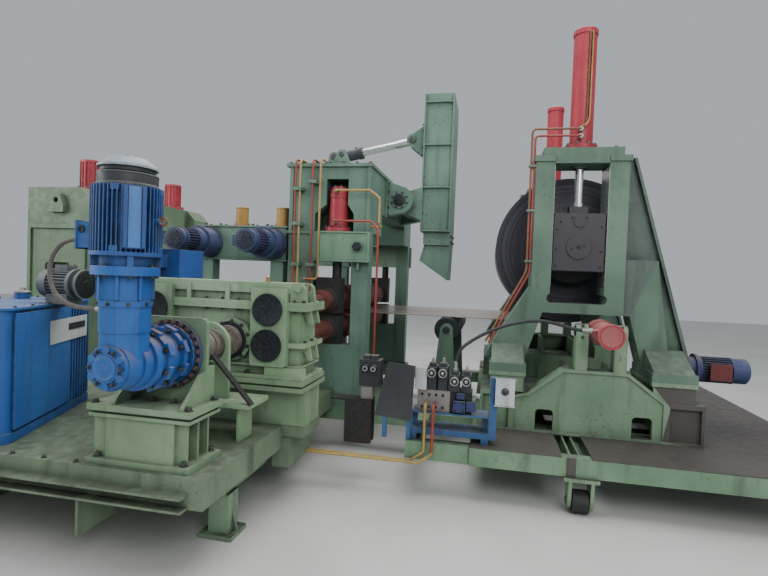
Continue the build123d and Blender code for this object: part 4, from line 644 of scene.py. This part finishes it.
turnedPiece("motorBands",
            [((driveX, motorY, 1.8452), upward, [(0.0, 0.132), (0.01, 0.132), (0.014, 0.129)]),
             ((driveX, motorY, 1.899), upward, [(0.0, 0.1295), (0.006, 0.129)])],
            "greyEnamel", 64)
barPiece("motorCornerBlocks",
         [((driveX + 0.137 * math.cos(a), motorY + 0.137 * math.sin(a), z), (0, 0, a))
          for z in (1.568, 1.832) for a in (math.radians(18 + 90 * n) for n in range(4))],
         (0.026, 0.034, 0.026), "motorEnamel")
# the panel on the motor's front right side is a shallow box between two rails, held at its corners; its
# lighter blue is a painted reflection of its glossy face
panelTurn = math.radians(-42)
panelOut = Vector((math.cos(panelTurn), math.sin(panelTurn), 0))
panelAcross = Vector((-math.sin(panelTurn), math.cos(panelTurn), 0))
panelMiddle = Vector((driveX, motorY, 1.704)) + panelOut * 0.169
barPiece("motorPanelRails",
         [(panelMiddle + panelAcross * 0.036 * across + panelOut * 0.001, (0, 0, panelTurn))
          for across in (-1, 1)],
         (0.012, 0.014, 0.262), "motorEnamel")
barPiece("motorPanel", [(panelMiddle + panelOut * 0.001, (0, 0, panelTurn))], (0.004, 0.05, 0.262),
         "panelReflectionBlue")
boltPiece("motorBoxScrews",
          [((-0.721, motorY + y, 1.627 + z), (-1, 0, 0)) for y in (-0.072, 0.072) for z in (-0.052, 0.052)],
          0.009)
turnedPiece("motorBoxEntry",
            [((-0.69, motorY - 0.0778, 1.652), front,
              [(0.0, 0.018), (0.003, 0.018), (0.004, 0.014), (0.0035, 0.012)])],
            "blackSteel", sides=24)
turnedPiece("rainCapNut", [((driveX, motorY, 1.9885), upward, [(0.0, 0.016), (0.003, 0.014)])], "zincSteel",
            12)
barPiece("rainCapLegs",
         [((driveX + 0.108 * math.cos(a), motorY + 0.108 * math.sin(a), 1.917), (0, 0, a))
          for a in (2 * math.pi * (n + 0.5) / 6 for n in range(6))],
         (0.006, 0.02, 0.03), "greyEnamel")


# the motor's lifting eye is a forged ring that stands off its right side
def makeEye(cage):
    ringR, barR = 0.017, 0.0055
    middle = Vector((driveX + 0.184, motorY, 1.697))
    rings = []
    for n in range(28):
        a = 2 * math.pi * n / 28
        out = Vector((math.cos(a), 0, math.sin(a)))
        rings.append([cage.verts.new(middle + out * (ringR + barR * math.cos(b))
                                     + Vector((0, barR * math.sin(b), 0)))
                      for b in (2 * math.pi * k / 10 for k in range(10))])
    skinRings(cage, rings, True)


addPiece("motorEye", "base", meshOf("motorEye", makeEye), "brownPipe")

# Pedestal and bracket of the drive
pedestal = {"x": (-0.856, -0.277), "y": (-2.315, -2.015), "top": 0.800, "foot": 0.528}
pedestalBolts = []
for x in (pedestal["x"][0] + 0.028, pedestal["x"][1] - 0.028):
    for y in (pedestal["y"][0] + 0.030, pedestal["y"][1] - 0.030):
        pedestalBolts.append(((x, y, pedestal["top"]), upward))
        pedestalBolts.append(((x + (0.018 if x < -0.5 else -0.018), y, pedestal["foot"]), upward))
pedestalBolts += rowSpots((-0.700, -2.170, 0.800), (-0.344, -2.170, 0.800), 4, upward)
boltPiece("pedestalBolts", pedestalBolts, 0.028)

# Behind the pedestal a second bracket stands round the shaft, on a small table, with a flat bar
# leaning on it
bracket = {"y": (-1.765, -1.738), "out": 0.137, "hole": 0.112, "foot": 0.735}


def makeBracket(cage):
    drop = driveZ - bracket["foot"]
    corner = math.atan2(drop, bracket["out"])
    turns = sorted([math.pi * n / 24 for n in range(48)] + [math.pi + corner, 2 * math.pi - corner])
    rings = []
    for turn in turns:
        across, high = math.cos(turn), math.sin(turn)
        reach = bracket["out"]
        if high < 0:
            reach = min(bracket["out"] / max(abs(across), 1e-6), drop / abs(high))
        rings.append([cage.verts.new((driveX + across * far, y, driveZ + high * far))
                      for far, y in ((bracket["hole"], bracket["y"][0]), (reach, bracket["y"][0]),
                                     (reach, bracket["y"][1]), (bracket["hole"], bracket["y"][1]))])
    skinRings(cage, rings, True)


addPiece("shaftBracket", "base", meshOf("shaftBracket", makeBracket), "caseEnamel", False,
         0.002)
platePiece("shaftTable",
           [((-0.68, -1.86, 0.707), (-0.2, -1.6, 0.735)), ((-0.61, -1.81, 0.5), (-0.59, -1.65, 0.707)),
            ((-0.3, -1.81, 0.5), (-0.28, -1.65, 0.707))],
           "caseEnamel")
barPiece("leaningBar", [((-0.316, -1.846, 0.871), (0, math.radians(46.8), 0))], (0.372, 0.044, 0.012),
         "castIron")

# Gear case: covers of the outputs, flange bolts, plugs and a breather
gearCase = {"splitTop": 1.300, "lowTop": 1.040, "footTop": 0.829,
            "covers": ((-0.274, 1.249), (-0.274, 1.021), (-1.081, 1.232))}
coverProfile = [(0.0, 0.102), (0.003, 0.104), (0.005, 0.102), (0.0055, 0.094), (0.0045, 0.092),
                (0.0045, 0.01)]
turnedPiece("outputCovers", [((x, -1.4948, z), front, coverProfile) for x, z in gearCase["covers"]],
            "blackSteel", sides=48)
coverScrews = []
for x, z in gearCase["covers"]:
    coverScrews += ringSpots((x, -1.4990, z), front, 0.088, 4)
boltPiece("outputCoverScrews", coverScrews, 0.008, "blackSteel")
flangeX = [x for x in (-1.405 + 0.113 * n for n in range(13))
           if not (-1.215 < x < -0.948 or -0.420 < x < -0.134)
           and all(abs(x - rib - 0.015) > 0.032 for rib in (-1.392, -1.150, -0.866, -0.588))]
flangeX += [-0.110, -0.045]
splitBolts = [((x, -1.4475, gearCase["splitTop"]), upward) for x in flangeX]
splitBolts += [((x, -1.4475, 1.244), (0, 0, -1)) for x in flangeX]
splitBolts += rowSpots((-0.044, -1.38, gearCase["splitTop"]), (-0.044, -1.14, gearCase["splitTop"]), 3,
                       upward)
lowX = [x for x in (-1.400 + 0.140 * n for n in range(10)) if not -0.430 < x < -0.125]
lowBolts = [((x, -1.446, gearCase["lowTop"]), upward) for x in lowX]
lowBolts += rowSpots((-0.050, -1.400, gearCase["lowTop"]), (-0.050, -1.140, gearCase["lowTop"]), 3, upward)
boltPiece("caseFlangeBolts", splitBolts + lowBolts, 0.019)
footBolts = rowSpots((-1.4, -1.453, gearCase["footTop"]), (-0.42, -1.453, gearCase["footTop"]), 5, upward)
boltPiece("caseFootBolts", footBolts, 0.028)
turnedPiece("caseBreather",
            [((-0.33, -1.38, 1.4198), upward,
              [(0.0, 0.018), (0.01, 0.018), (0.012, 0.01), (0.024, 0.01), (0.026, 0.017), (0.036, 0.016),
               (0.042, 0.008)])],
            "brass", 12)
turnedPiece("casePlugs",
            [((x, -1.4268, z), front, [(0.0, 0.016), (0.006, 0.016), (0.008, 0.012), (0.014, 0.011)])
             for x, z in ((-0.76, 0.94), (-0.45, 0.935))],
            "boltSteel", sides=6)
turnedPiece("couplingRims",
            [((driveX, -1.5255, driveZ), (0, 1, 0), [(0.0, 0.12), (0.01, 0.12), (0.014, 0.1)])],
            "blackSteel")
boltPiece("driveHubBolts", ringSpots((driveX, -1.4855, driveZ), front, 0.121, 10), 0.016)
print("drive and gear case dressed")

# Cone heads: bolts, bright guides in the window, plugs of the slide block, pipes
head = {"capTop": 2.542, "flangeTop": 2.582, "flangeR": 0.107, "front": 1.100, "guideDeep": 0.285,
        "pipeR": 0.009, "pipeY": -0.300}
for sideName, side in bothSides:
    body = "front_head" if side < 0 else "base"
    block = "front_block" if side < 0 else "rear_block"
    out = Vector((0, side, 0))
    y = lineY + side * (head["front"] - 0.150)
    face = lineY + side * head["front"]
    capBolts = [((headX + x, y + d, head["capTop"]), upward)
                for x in (-0.235, 0.245) for d in (-0.105, 0.105)]
    capBolts += ringSpots((headX, y, head["flangeTop"]), upward, head["flangeR"])
    boltPiece("headBolts" + sideName, capBolts, 0.024, body=body)
    near, deep = sorted((face, face - side * head["guideDeep"]))
    platePiece("windowGuides" + sideName,
               [((headX + low, near, 1.46), (headX + high, deep, 2.4))
                for low, high in ((-0.2002, -0.1985), (0.1985, 0.2002))],
               "guideSteel", 0.0, body=body)
    turnedPiece("rodWiper" + sideName,
                [((headX, y, 2.4035), (0, 0, -1), [(0.0, 0.064), (0.002, 0.064), (0.0034, 0.05)])],
                "blackSteel", body=body)
    blockFace = lineY + side * (head["front"] - 0.015)
    plugY = lineY + side * (head["front"] - 0.0032)
    turnedPiece("blockPlugs" + sideName,
                [((headX, plugY, coilZ), out, [(0.0, 0.019), (0.0012, 0.019), (0.0022, 0.012)]),
                 ((headX - 0.05, plugY, coilZ - 0.014), out, [(0.0, 0.009), (0.002, 0.009)]),
                 ((headX + 0.038, plugY, coilZ + 0.01), out, [(0.0, 0.009), (0.002, 0.009)])],
                "blackSteel", sides=20, body=block)
    boltPiece("blockBolts" + sideName,
              [((headX + x, blockFace, coilZ + z), out)
               for x, z in ((-0.052, 0.232), (0.052, 0.232), (-0.14, 0.195), (-0.165, 0.135), (0.165, 0.16),
                            (-0.165, -0.02), (0.165, -0.03), (-0.165, -0.15), (0.165, -0.15))],
              0.011, "blackSteel", body=block)
    # two thin feeds run from the cylinder's lower ports up its front to the closed end
    for pipeName, x, low, finish in (("liftPipeDark", 0.022, 2.692, "brownPipe"),
                                     ("liftPipePale", 0.042, 2.720, "yellowEnamel")):
        off = math.sqrt(0.0995 ** 2 - x ** 2)
        pipePiece(pipeName + sideName,
                  [[(headX - 0.016, y + side * 0.1, low), (headX + x * 0.5, y + side * 0.11, low + 0.008),
                    (headX + x, y + side * off, low + 0.06), (headX + x, y + side * off, 3.445),
                    (headX + x * 0.8, y + side * 0.078, 3.462)]],
                  0.012, finish, 0.02, body=body)
    turnedPiece("liftPortNuts" + sideName,
                [((headX - 0.02, y + side * 0.11, z), out,
                  [(0.0, 0.022), (0.014, 0.022), (0.016, 0.016), (0.022, 0.015)])
                 for z in (2.637, 2.692)],
                "zincSteel", 6, body=body)

# pair of pipes down the left edge of the front head, from its cylinder to the foot
for pipeName, finish, x, port, high, low, end in (
        ("headPipeRed", "pipeRedEnamel", 1.400, 2.637, 2.637, 1.560, (1.105, -0.328, 0.985)),
        ("headPipeBrown", "brownPipe", 1.376, 2.692, 2.690, 1.568, (1.081, -0.328, 0.998))):
    pipePiece(pipeName,
              [[(1.74, -0.274, port), (1.74, -0.296, port), (x, head["pipeY"], high),
                (x, head["pipeY"], low), end]],
              head["pipeR"] * 2, finish, 0.035, body="front_head")
barPiece("headPipeClamps", [((1.39, -0.299, z), (0, 0, 0)) for z in (2.4, 2.05, 1.65)],
         (0.066, 0.034, 0.018), "headEnamel", body="front_head")
print("cone heads dressed")

# Bases of the heads: trunnion bolts and caps, ends of the traverse cylinders, the gear motor
base = {"trunnionZ": 1.140, "trunnionX": 1.910}
for sideName, side in bothSides:
    out = Vector((0, side, 0))
    face = lineY + side * 1.350
    capScrews = []
    for hand in (-1, 1):
        x = base["trunnionX"] + hand * (0.090 + 0.0003 + 0.043)
        for z in (1.098, 1.182):
            capScrews.append(((x, face, z), out))
    boltPiece("trunnionBolts" + sideName, capScrews, 0.014)
    turnedPiece("trunnionCaps" + sideName,
                [((base["trunnionX"] + hand * 0.15, lineY + side * 1.295, base["trunnionZ"]), (hand, 0, 0),
                  [(0.0, 0.04), (0.03, 0.04), (0.034, 0.034), (0.034, 0.008)])
                 for hand in (-1, 1)],
                "blackSteel")
    turnedPiece("traverseEnd" + sideName,
                [((base["trunnionX"], lineY + side * 1.649, base["trunnionZ"]), out,
                  [(0.0, 0.074), (0.003, 0.074), (0.0055, 0.068), (0.004, 0.06), (0.004, 0.01)])],
                "pinkEnamel", 48)
    boltPiece("traverseTies" + sideName,
              ringSpots((base["trunnionX"], lineY + side * 1.61, base["trunnionZ"]), -out, 0.0815), 0.008)
motorStart = 2.613
boltPiece("baseMotorBolts",
          ringSpots((motorStart + 0.024, 0.025, 0.84), (1, 0, 0), 0.11)
          + ringSpots((motorStart + 0.128, 0.025, 0.84), (-1, 0, 0), 0.11),
          0.016)
turnedPiece("baseMotorGrille",
            [((3.1105, 0.025, 0.84), (1, 0, 0),
              [(0.0, 0.078), (0.001, 0.078), (0.002, 0.074), (0.002, 0.026), (0.004, 0.024),
               (0.004, 0.006)])],
            "blackSteel", sides=40)
boltPiece("baseMotorLidScrews",
          [((2.878 + x, -0.1252, 0.84 + z), front) for x in (-0.05, 0.05) for z in (-0.04, 0.04)], 0.008)
print("head bases dressed")

# Bridge: bearing screws and pin ends of the rollers, a sooty patch on the beam
for sideName, side in bothSides:
    yokeFace = lineY + side * 1.805
    boltPiece("yokeBolts" + sideName,
              [((x, yokeFace + d, 0.221), (0, 0, -1)) for x in (1.64, 1.81) for d in (-0.05, 0.05)], 0.018)
    turnedPiece("rollerPinCaps" + sideName,
                [((bridgeX, yokeFace, 0.075), (hand, 0, 0), [(0.0, 0.03), (0.006, 0.03), (0.009, 0.022)])
                 for bridgeX, hand in ((1.8045, 1), (1.6455, -1))],
                "turnedSteel", 24,
                body="bridge_wheel_front" if side < 0 else "bridge_wheel_rear")
platePiece("beamStains", [((1.63, -1.0662, 0.243), (1.69, -1.0648, 0.368))], "grimeAndShadePlate", bevel=0.0)

# Pinch roll stand
stand = {"screwX": -0.203, "rollX": -0.262, "topZ": 2.430, "coverY": 1.1158}
coverPlate = [(0.0, 0.100), (0.005, 0.100), (0.009, 0.088)]
for sideName, side in bothSides:
    out = Vector((0, side, 0))
    cylinderY = lineY + side * 1.040
    boltPiece("standTopBolts" + sideName,
              [spot for y in (1.08, 0.76)
               for spot in rowSpots((-0.64, lineY + side * y, stand["topZ"]),
                                    (0.07, lineY + side * y, stand["topZ"]), 7, upward)],
              0.024)
    boltPiece("standFootBolts" + sideName,
              [((x, lineY + side * 0.935, 0.403), upward) for x in (-0.6, -0.48, -0.3, -0.14, 0.02, 0.1)],
              0.03)
    boltPiece("screwdownBolts" + sideName,
              ringSpots((stand["screwX"], cylinderY, 1.884), upward, 0.105)
              + ringSpots((stand["screwX"], cylinderY, 2.232), upward, 0.054, 6),
              0.019)
    turnedPiece("crossbeamNut" + sideName,
                [((0.001, lineY + side * 1.164, 1.725), out, [(0.0, 0.04), (0.026, 0.04), (0.03, 0.034)])],
                "blackSteel", sides=6)
    for coverName, body, z in (("chockCovers", "base", 1.0127),
                               ("upperChockCovers", "upper_chock_pair", 1.2673)):
        turnedPiece(coverName + sideName,
                    [((stand["rollX"], lineY + side * stand["coverY"], z), out, coverPlate)], "castIron",
                    body=body)
    boltPiece("pivotBolts" + sideName, ringSpots((0.219, lineY + side * 0.478, 2.219), out, 0.073), 0.014)
    plateX = 0.108
    boltPiece("noseBolts" + sideName,
              [((plateX, lineY + side * d, z), (1, 0, 0))
               for d in (0.338, 0.482) for z in (2.075, 2.15, 2.3, 2.375)],
              0.018)
turnedPiece("armPivotCaps",
            [((0.219, lineY + side * 0.4835, 2.219), (0, side, 0),
              [(0.0, 0.056), (0.008, 0.056), (0.012, 0.048), (0.012, 0.012)])
             for name, side in bothSides],
            "blackSteel", body="arm")

# Pipes on the stand's face: clamp blocks with their screws
clamp = {"pair": (2.200, 1.905, 1.560, 1.250, 0.880, 0.700), "single": (2.260, 1.560, 1.250, 0.820)}
barPiece("pipeClamps",
         [((-0.5325, -0.3615, z), (0, 0, 0)) for z in clamp["pair"]]
         + [((-0.4, -0.3615, z), (0, 0, 0)) for z in clamp["single"]],
         (0.07, 0.097, 0.028), "standEnamel")
boltPiece("pipeClampScrews",
          [((-0.5325, -0.41, z), front) for z in clamp["pair"]]
          + [((-0.42, -0.41, z), front) for z in clamp["single"]],
          0.01, "zincSteel")
turnedPiece("pipeNuts",
            [((stand["screwX"], -0.347, z), front,
              [(0.0, 0.021), (0.018, 0.021), (0.02, 0.015), (0.028, 0.014)])
             for z in (2.19, 1.932)],
            "zincSteel", 6)
print("pinch roll stand dressed")

# Coil opening arm: bracket bolts, pin keepers, weld beads along the panels
arm = {"x": (0.400, 0.690), "panelY": 0.264, "shelves": (1.940, 2.367, 2.782, 3.197)}
armBolts = [((0.378, lineY + d, z), (-1, 0, 0)) for d in (-0.108, 0.108) for z in (2.73, 2.81, 2.98, 3.036)]
boltPiece("armBracketBolts", armBolts, 0.02, body="arm")
keeper = [(0.0, 0.036), (0.006, 0.036), (0.008, 0.028)]
pinEnd = 0.046 + 0.036 + 0.008
turnedPiece("armPinKeepers",
            [((0.254, lineY + hand * (pinEnd - 0.0005), 2.894), (0, hand, 0), keeper) for hand in (-1, 1)],
            "boltSteel", sides=28, body="arm")
footPin = 0.066 + 0.036 + 0.008
turnedPiece("cylinderPinKeepers",
            [((-0.572, lineY + hand * (footPin - 0.0005), 2.72), (0, hand, 0), keeper) for hand in (-1, 1)],
            "boltSteel", sides=28)
beads = []
for side in (-1, 1):
    y = lineY + side * arm["panelY"]
    for low, high in zip(arm["shelves"], arm["shelves"][1:]):
        for x in (arm["x"][0] + 0.016, arm["x"][1] - 0.016):
            beads.append([(x, y, low + 0.018), (x, y, high - 0.004)])
        beads.append([(arm["x"][0] + 0.016, y, low + 0.016), (arm["x"][1] - 0.016, y, low + 0.016)])
pipePiece("armWelds", beads, 0.008, "armEnamel", body="arm")
bladeBolts = [((0.6905, lineY + d, z), (1, 0, 0)) for d in (-0.16, 0.0, 0.16) for z in (1.852, 1.912)]
boltPiece("bladeBolts", bladeBolts, 0.02, body="arm")
print("opening arm dressed")

# Leveller and its gear motors
motors = {"x": (-1.400, -0.785), "z": 1.730, "y": lineY - 1.080}
motorBolts = []
grilleTurns, grilleBars = [], []
for x in motors["x"]:
    motorBolts += ringSpots((x, motors["y"] - 0.036, motors["z"]), front, 0.1290)
    motorBolts += ringSpots((x, motors["y"] - 0.190, motors["z"]), (0, 1, 0), 0.1290)
    end = motors["y"] - 0.542
    grilleTurns.append(((x, end, motors["z"]), front,
                        [(0.0, 0.072), (0.001, 0.072), (0.0025, 0.068), (0.0025, 0.022), (0.005, 0.02),
                         (0.005, 0.006)]))
    grilleBars += [((x + 0.046 * math.cos(a), end - 0.0035, motors["z"] + 0.046 * math.sin(a)), (0, -a, 0))
                   for a in (2 * math.pi * n / 16 for n in range(16))]
boltPiece("levellerMotorBolts", motorBolts, 0.012)
turnedPiece("levellerMotorGrilles", grilleTurns, "blackSteel", sides=40)
barPiece("levellerMotorBars", grilleBars, (0.04, 0.003, 0.004), "oldBlueEnamel")
boltPiece("levellerTopBolts",
          [((x, lineY + side * 1.02 + d, 1.889), upward)
           for side in (-1, 1) for x in (-1.45, -1.3, -0.99, -0.85) for d in (-0.045, 0.045)],
          0.024)
levellerPosts = [((x, lineY + side * 1.02, 2.0425), upward,
                  [(0.0, 0.058), (0.01, 0.058), (0.014, 0.05), (0.014, 0.02)])
                 for x in (-1.117, -0.727) for side in (-1, 1)]
turnedPiece("levellerPostCaps", levellerPosts, "postOchre")

# Left stand
boltPiece("leftCylinderBolts",
          [spot for side in (-1, 1)
           for spot in ringSpots((-3.0, lineY + side * 0.7, 2.266), upward, 0.121)],
          0.02)
print("leveller and left stand dressed")

# Oil unit: sheet and blank plate on its fins, filler caps, lid screws, pump motor's grille
tankTurn = Matrix.Translation((-1.824, lineY - 2.618, 0.500)) @ Matrix.Rotation(math.radians(20), 4, "Z")


def onTank(x, y, z):
    return tankTurn @ Vector((x, y, z))


# a plain sheet covers the fins of the front two thirds, a blank plate hangs across its far end
barPiece("tankSheet", [(onTank(0.2555, -0.16, 0.39), (0, 0, math.radians(20)))], (0.004, 0.64, 0.64),
         "tankEnamel")
barPiece("tankPlate", [(onTank(0.26, 0.15, 0.56), (0, 0, math.radians(20)))], (0.004, 0.52, 0.15),
         "whiteEnamel")
barPiece("tankPlateSlot", [(onTank(0.2635, 0.25, 0.575), (0, 0, math.radians(20)))], (0.004, 0.24, 0.042),
         "blackSteel")
turnedPiece("tankCaps",
            [(onTank(x, y, 0.7815), upward,
              [(0.0, 0.052), (0.01, 0.052), (0.016, 0.044), (0.018, 0.02), (0.034, 0.018), (0.036, 0.012)])
             for x, y in ((-0.11, 0.3), (0.07, 0.33))],
            "zincSteel")
boltPiece("tankLidScrews",
          [(onTank(x, y, 0.74), Vector(upward))
           for x in (-0.236, 0.236) for y in (-0.45, -0.27, -0.09, 0.09, 0.27, 0.45)]
          + [(onTank(x, y, 0.74), Vector(upward)) for y in (-0.52, 0.52) for x in (-0.12, 0.12)],
          0.014)
turnedPiece("pumpMotorGrille",
            [((-1.366, -1.765, 1.366), (1, 0, 0),
              [(0.0, 0.086), (0.0015, 0.086), (0.003, 0.08), (0.003, 0.024), (0.005, 0.022),
               (0.005, 0.006)])],
            "blackSteel", sides=40)
boltPiece("pumpMotorBolts",
          ringSpots((-1.59, -1.765, 1.366), (1, 0, 0), 0.083)
          + [((x, -1.765 + d, 1.484), upward) for x in (-1.547, -1.483) for d in (-0.03, 0.03)],
          0.009)
print("oil unit dressed")

# Valve block: solenoid noses, plugs, fittings and the selector box on its post
valveTurns, valveRings = [], []
for x, y, z, size in ((0.730, valveFront - 0.004, 0.833, 1.0), (0.806, valveFront - 0.004, 0.836, 1.0),
                      (0.888, valveFront - 0.004, 0.787, 1.0), (0.968, valveFront - 0.004, 0.790, 1.0),
                      (0.244, lineY - 1.730, 0.820, 0.9), (0.303, lineY - 1.730, 0.820, 0.9)):
    # the right valves have pale rims round a dark face, the left ones the other way round
    rim, face = (valveRings, valveTurns) if y < valveFront else (valveTurns, valveRings)
    rim.append(((x, y, z), front,
                [(far, radius * size)
                 for far, radius in ((0.0, 0.03), (0.004, 0.0305), (0.009, 0.0295), (0.01, 0.026),
                                     (0.006, 0.023))]))
    face.append(((x, y, z), front, [(0.0, 0.0222 * size), (0.0068, 0.0222 * size)]))
    rim.append(((x, y - 0.006, z), front,
                [(0.0, 0.012 * size), (0.008, 0.011 * size), (0.013, 0.006 * size)]))
turnedPiece("valveNoseRings", valveRings, "plateAluminium", 32)
turnedPiece("valveNoseBlacks", valveTurns, "blackSteel", sides=32)
plugs = []
for x in (0.668, 0.716, 0.764, 0.812):
    for z in (0.590, 0.676):
        plugs.append(((x, valveFront + 0.03, z), front))
for x in (0.885, 0.925, 0.965, 0.995):
    for z in (0.590, 0.640, 0.690):
        plugs.append(((x, valveFront + 0.044, z), front))
boltPiece("manifoldPlugs", plugs, 0.012, "blackSteel")
topFittings = []
for x, z in ((0.730, 0.895), (0.806, 0.898), (0.968, 0.852)):
    for y in (-0.935, -0.905):
        topFittings.append(((x, y, z), upward,
                            [(0.0, 0.013), (0.012, 0.013), (0.014, 0.009), (0.03, 0.009), (0.034, 0.006)]))
turnedPiece("valveTopFittings", topFittings, "manifoldPaint", 6)
turnedPiece("selectorKnob",
            [((1.2275, -1.0352, 0.752), front,
              [(0.0, 0.024), (0.004, 0.024), (0.006, 0.018), (0.02, 0.016), (0.023, 0.012)])],
            "blackEnamel", 32)
platePiece("selectorRim",
           [((1.159, -1.0375, 0.65), (1.296, -1.034, 0.656)),
            ((1.159, -1.0375, 0.836), (1.296, -1.034, 0.842))],
           "whiteEnamel", 0.001)
platePiece("manifoldBlocks",
           [((0.885, -1.006, 0.575), (0.968, -0.9515, 0.655)),
            ((0.972, -0.99, 0.585), (1.04, -0.9515, 0.65)),
            ((0.905, -0.985, 0.662), (0.962, -0.9515, 0.706))],
           "navyEnamel", 0.003)
boltPiece("manifoldBlockScrews",
          [((0.9265 + x, -1.006, 0.615 + z), front) for x in (-0.028, 0.028) for z in (-0.028, 0.028)],
          0.01, "blackSteel")
turnedPiece("manifoldGauge",
            [((1.018, -0.96, 0.69), (1, -0.2, 0),
              [(0.0, 0.014), (0.02, 0.014), (0.022, 0.02), (0.05, 0.02), (0.054, 0.014)])],
            "zincSteel", 24)
print("valves dressed")

# Platform: bolts along its rail
boltPiece("platformBolts", rowSpots((-3.4, -2.325, 0.5), (-0.9, -2.325, 0.5), 14, upward), 0.018)

# Floor and light
studio = {"floor": 40.0, "sky": 0.62, "roofPower": 430.0, "frontPower": 170.0, "sidePower": 190.0}


def areaLight(name, place, target, size, power):
    data = bpy.data.lights.new(name, "AREA")
    data.shape = "RECTANGLE"
    data.size, data.size_y = size
    data.energy = power
    light = bpy.data.objects.new(name, data)
    light.location = place
    light.rotation_euler = (Vector(target) - Vector(place)).to_track_quat("-Z", "Y").to_euler()
    bpy.context.scene.collection.objects.link(light)


def buildStudio():
    mesh = bpy.data.meshes.new("floor")
    half = studio["floor"] / 2
    mesh.from_pydata([(-half, -half, 0), (half, -half, 0), (half, half, 0), (-half, half, 0)], [],
                     [(0, 1, 2, 3)])
    floor = bpy.data.objects.new("floor", mesh)
    bpy.context.scene.collection.objects.link(floor)
    material, tree, shader, place = newFinish("floorPaint")
    colour = layCoats(tree, linear("#c6c5c1"),
                      [(patches(tree, place, 0.8, 0.3, 0.7), 1.0, linear("#d0cfcb"))])
    tree.links.new(colour.outputs[2], shader.inputs["Base Color"])
    shader.inputs["Roughness"].default_value = 0.7
    mesh.materials.append(material)
    world = bpy.data.worlds.new("sky")
    world.use_nodes = True
    world.node_tree.nodes["Background"].inputs[0].default_value = linear("#dfe4ea")
    world.node_tree.nodes["Background"].inputs[1].default_value = studio["sky"]
    bpy.context.scene.world = world
    areaLight("roofLight", (0.5, 0.5, 6.5), (0, 0.4, 0), (7.0, 5.0), studio["roofPower"])
    areaLight("frontLight", (3.5, -6.0, 4.5), (0, 0, 1.2), (4.0, 3.0), studio["frontPower"])
    areaLight("sideLight", (-6.0, -3.0, 3.5), (-1, 0, 1.2), (3.0, 3.0), studio["sidePower"])


buildStudio()
print("floor and light placed")
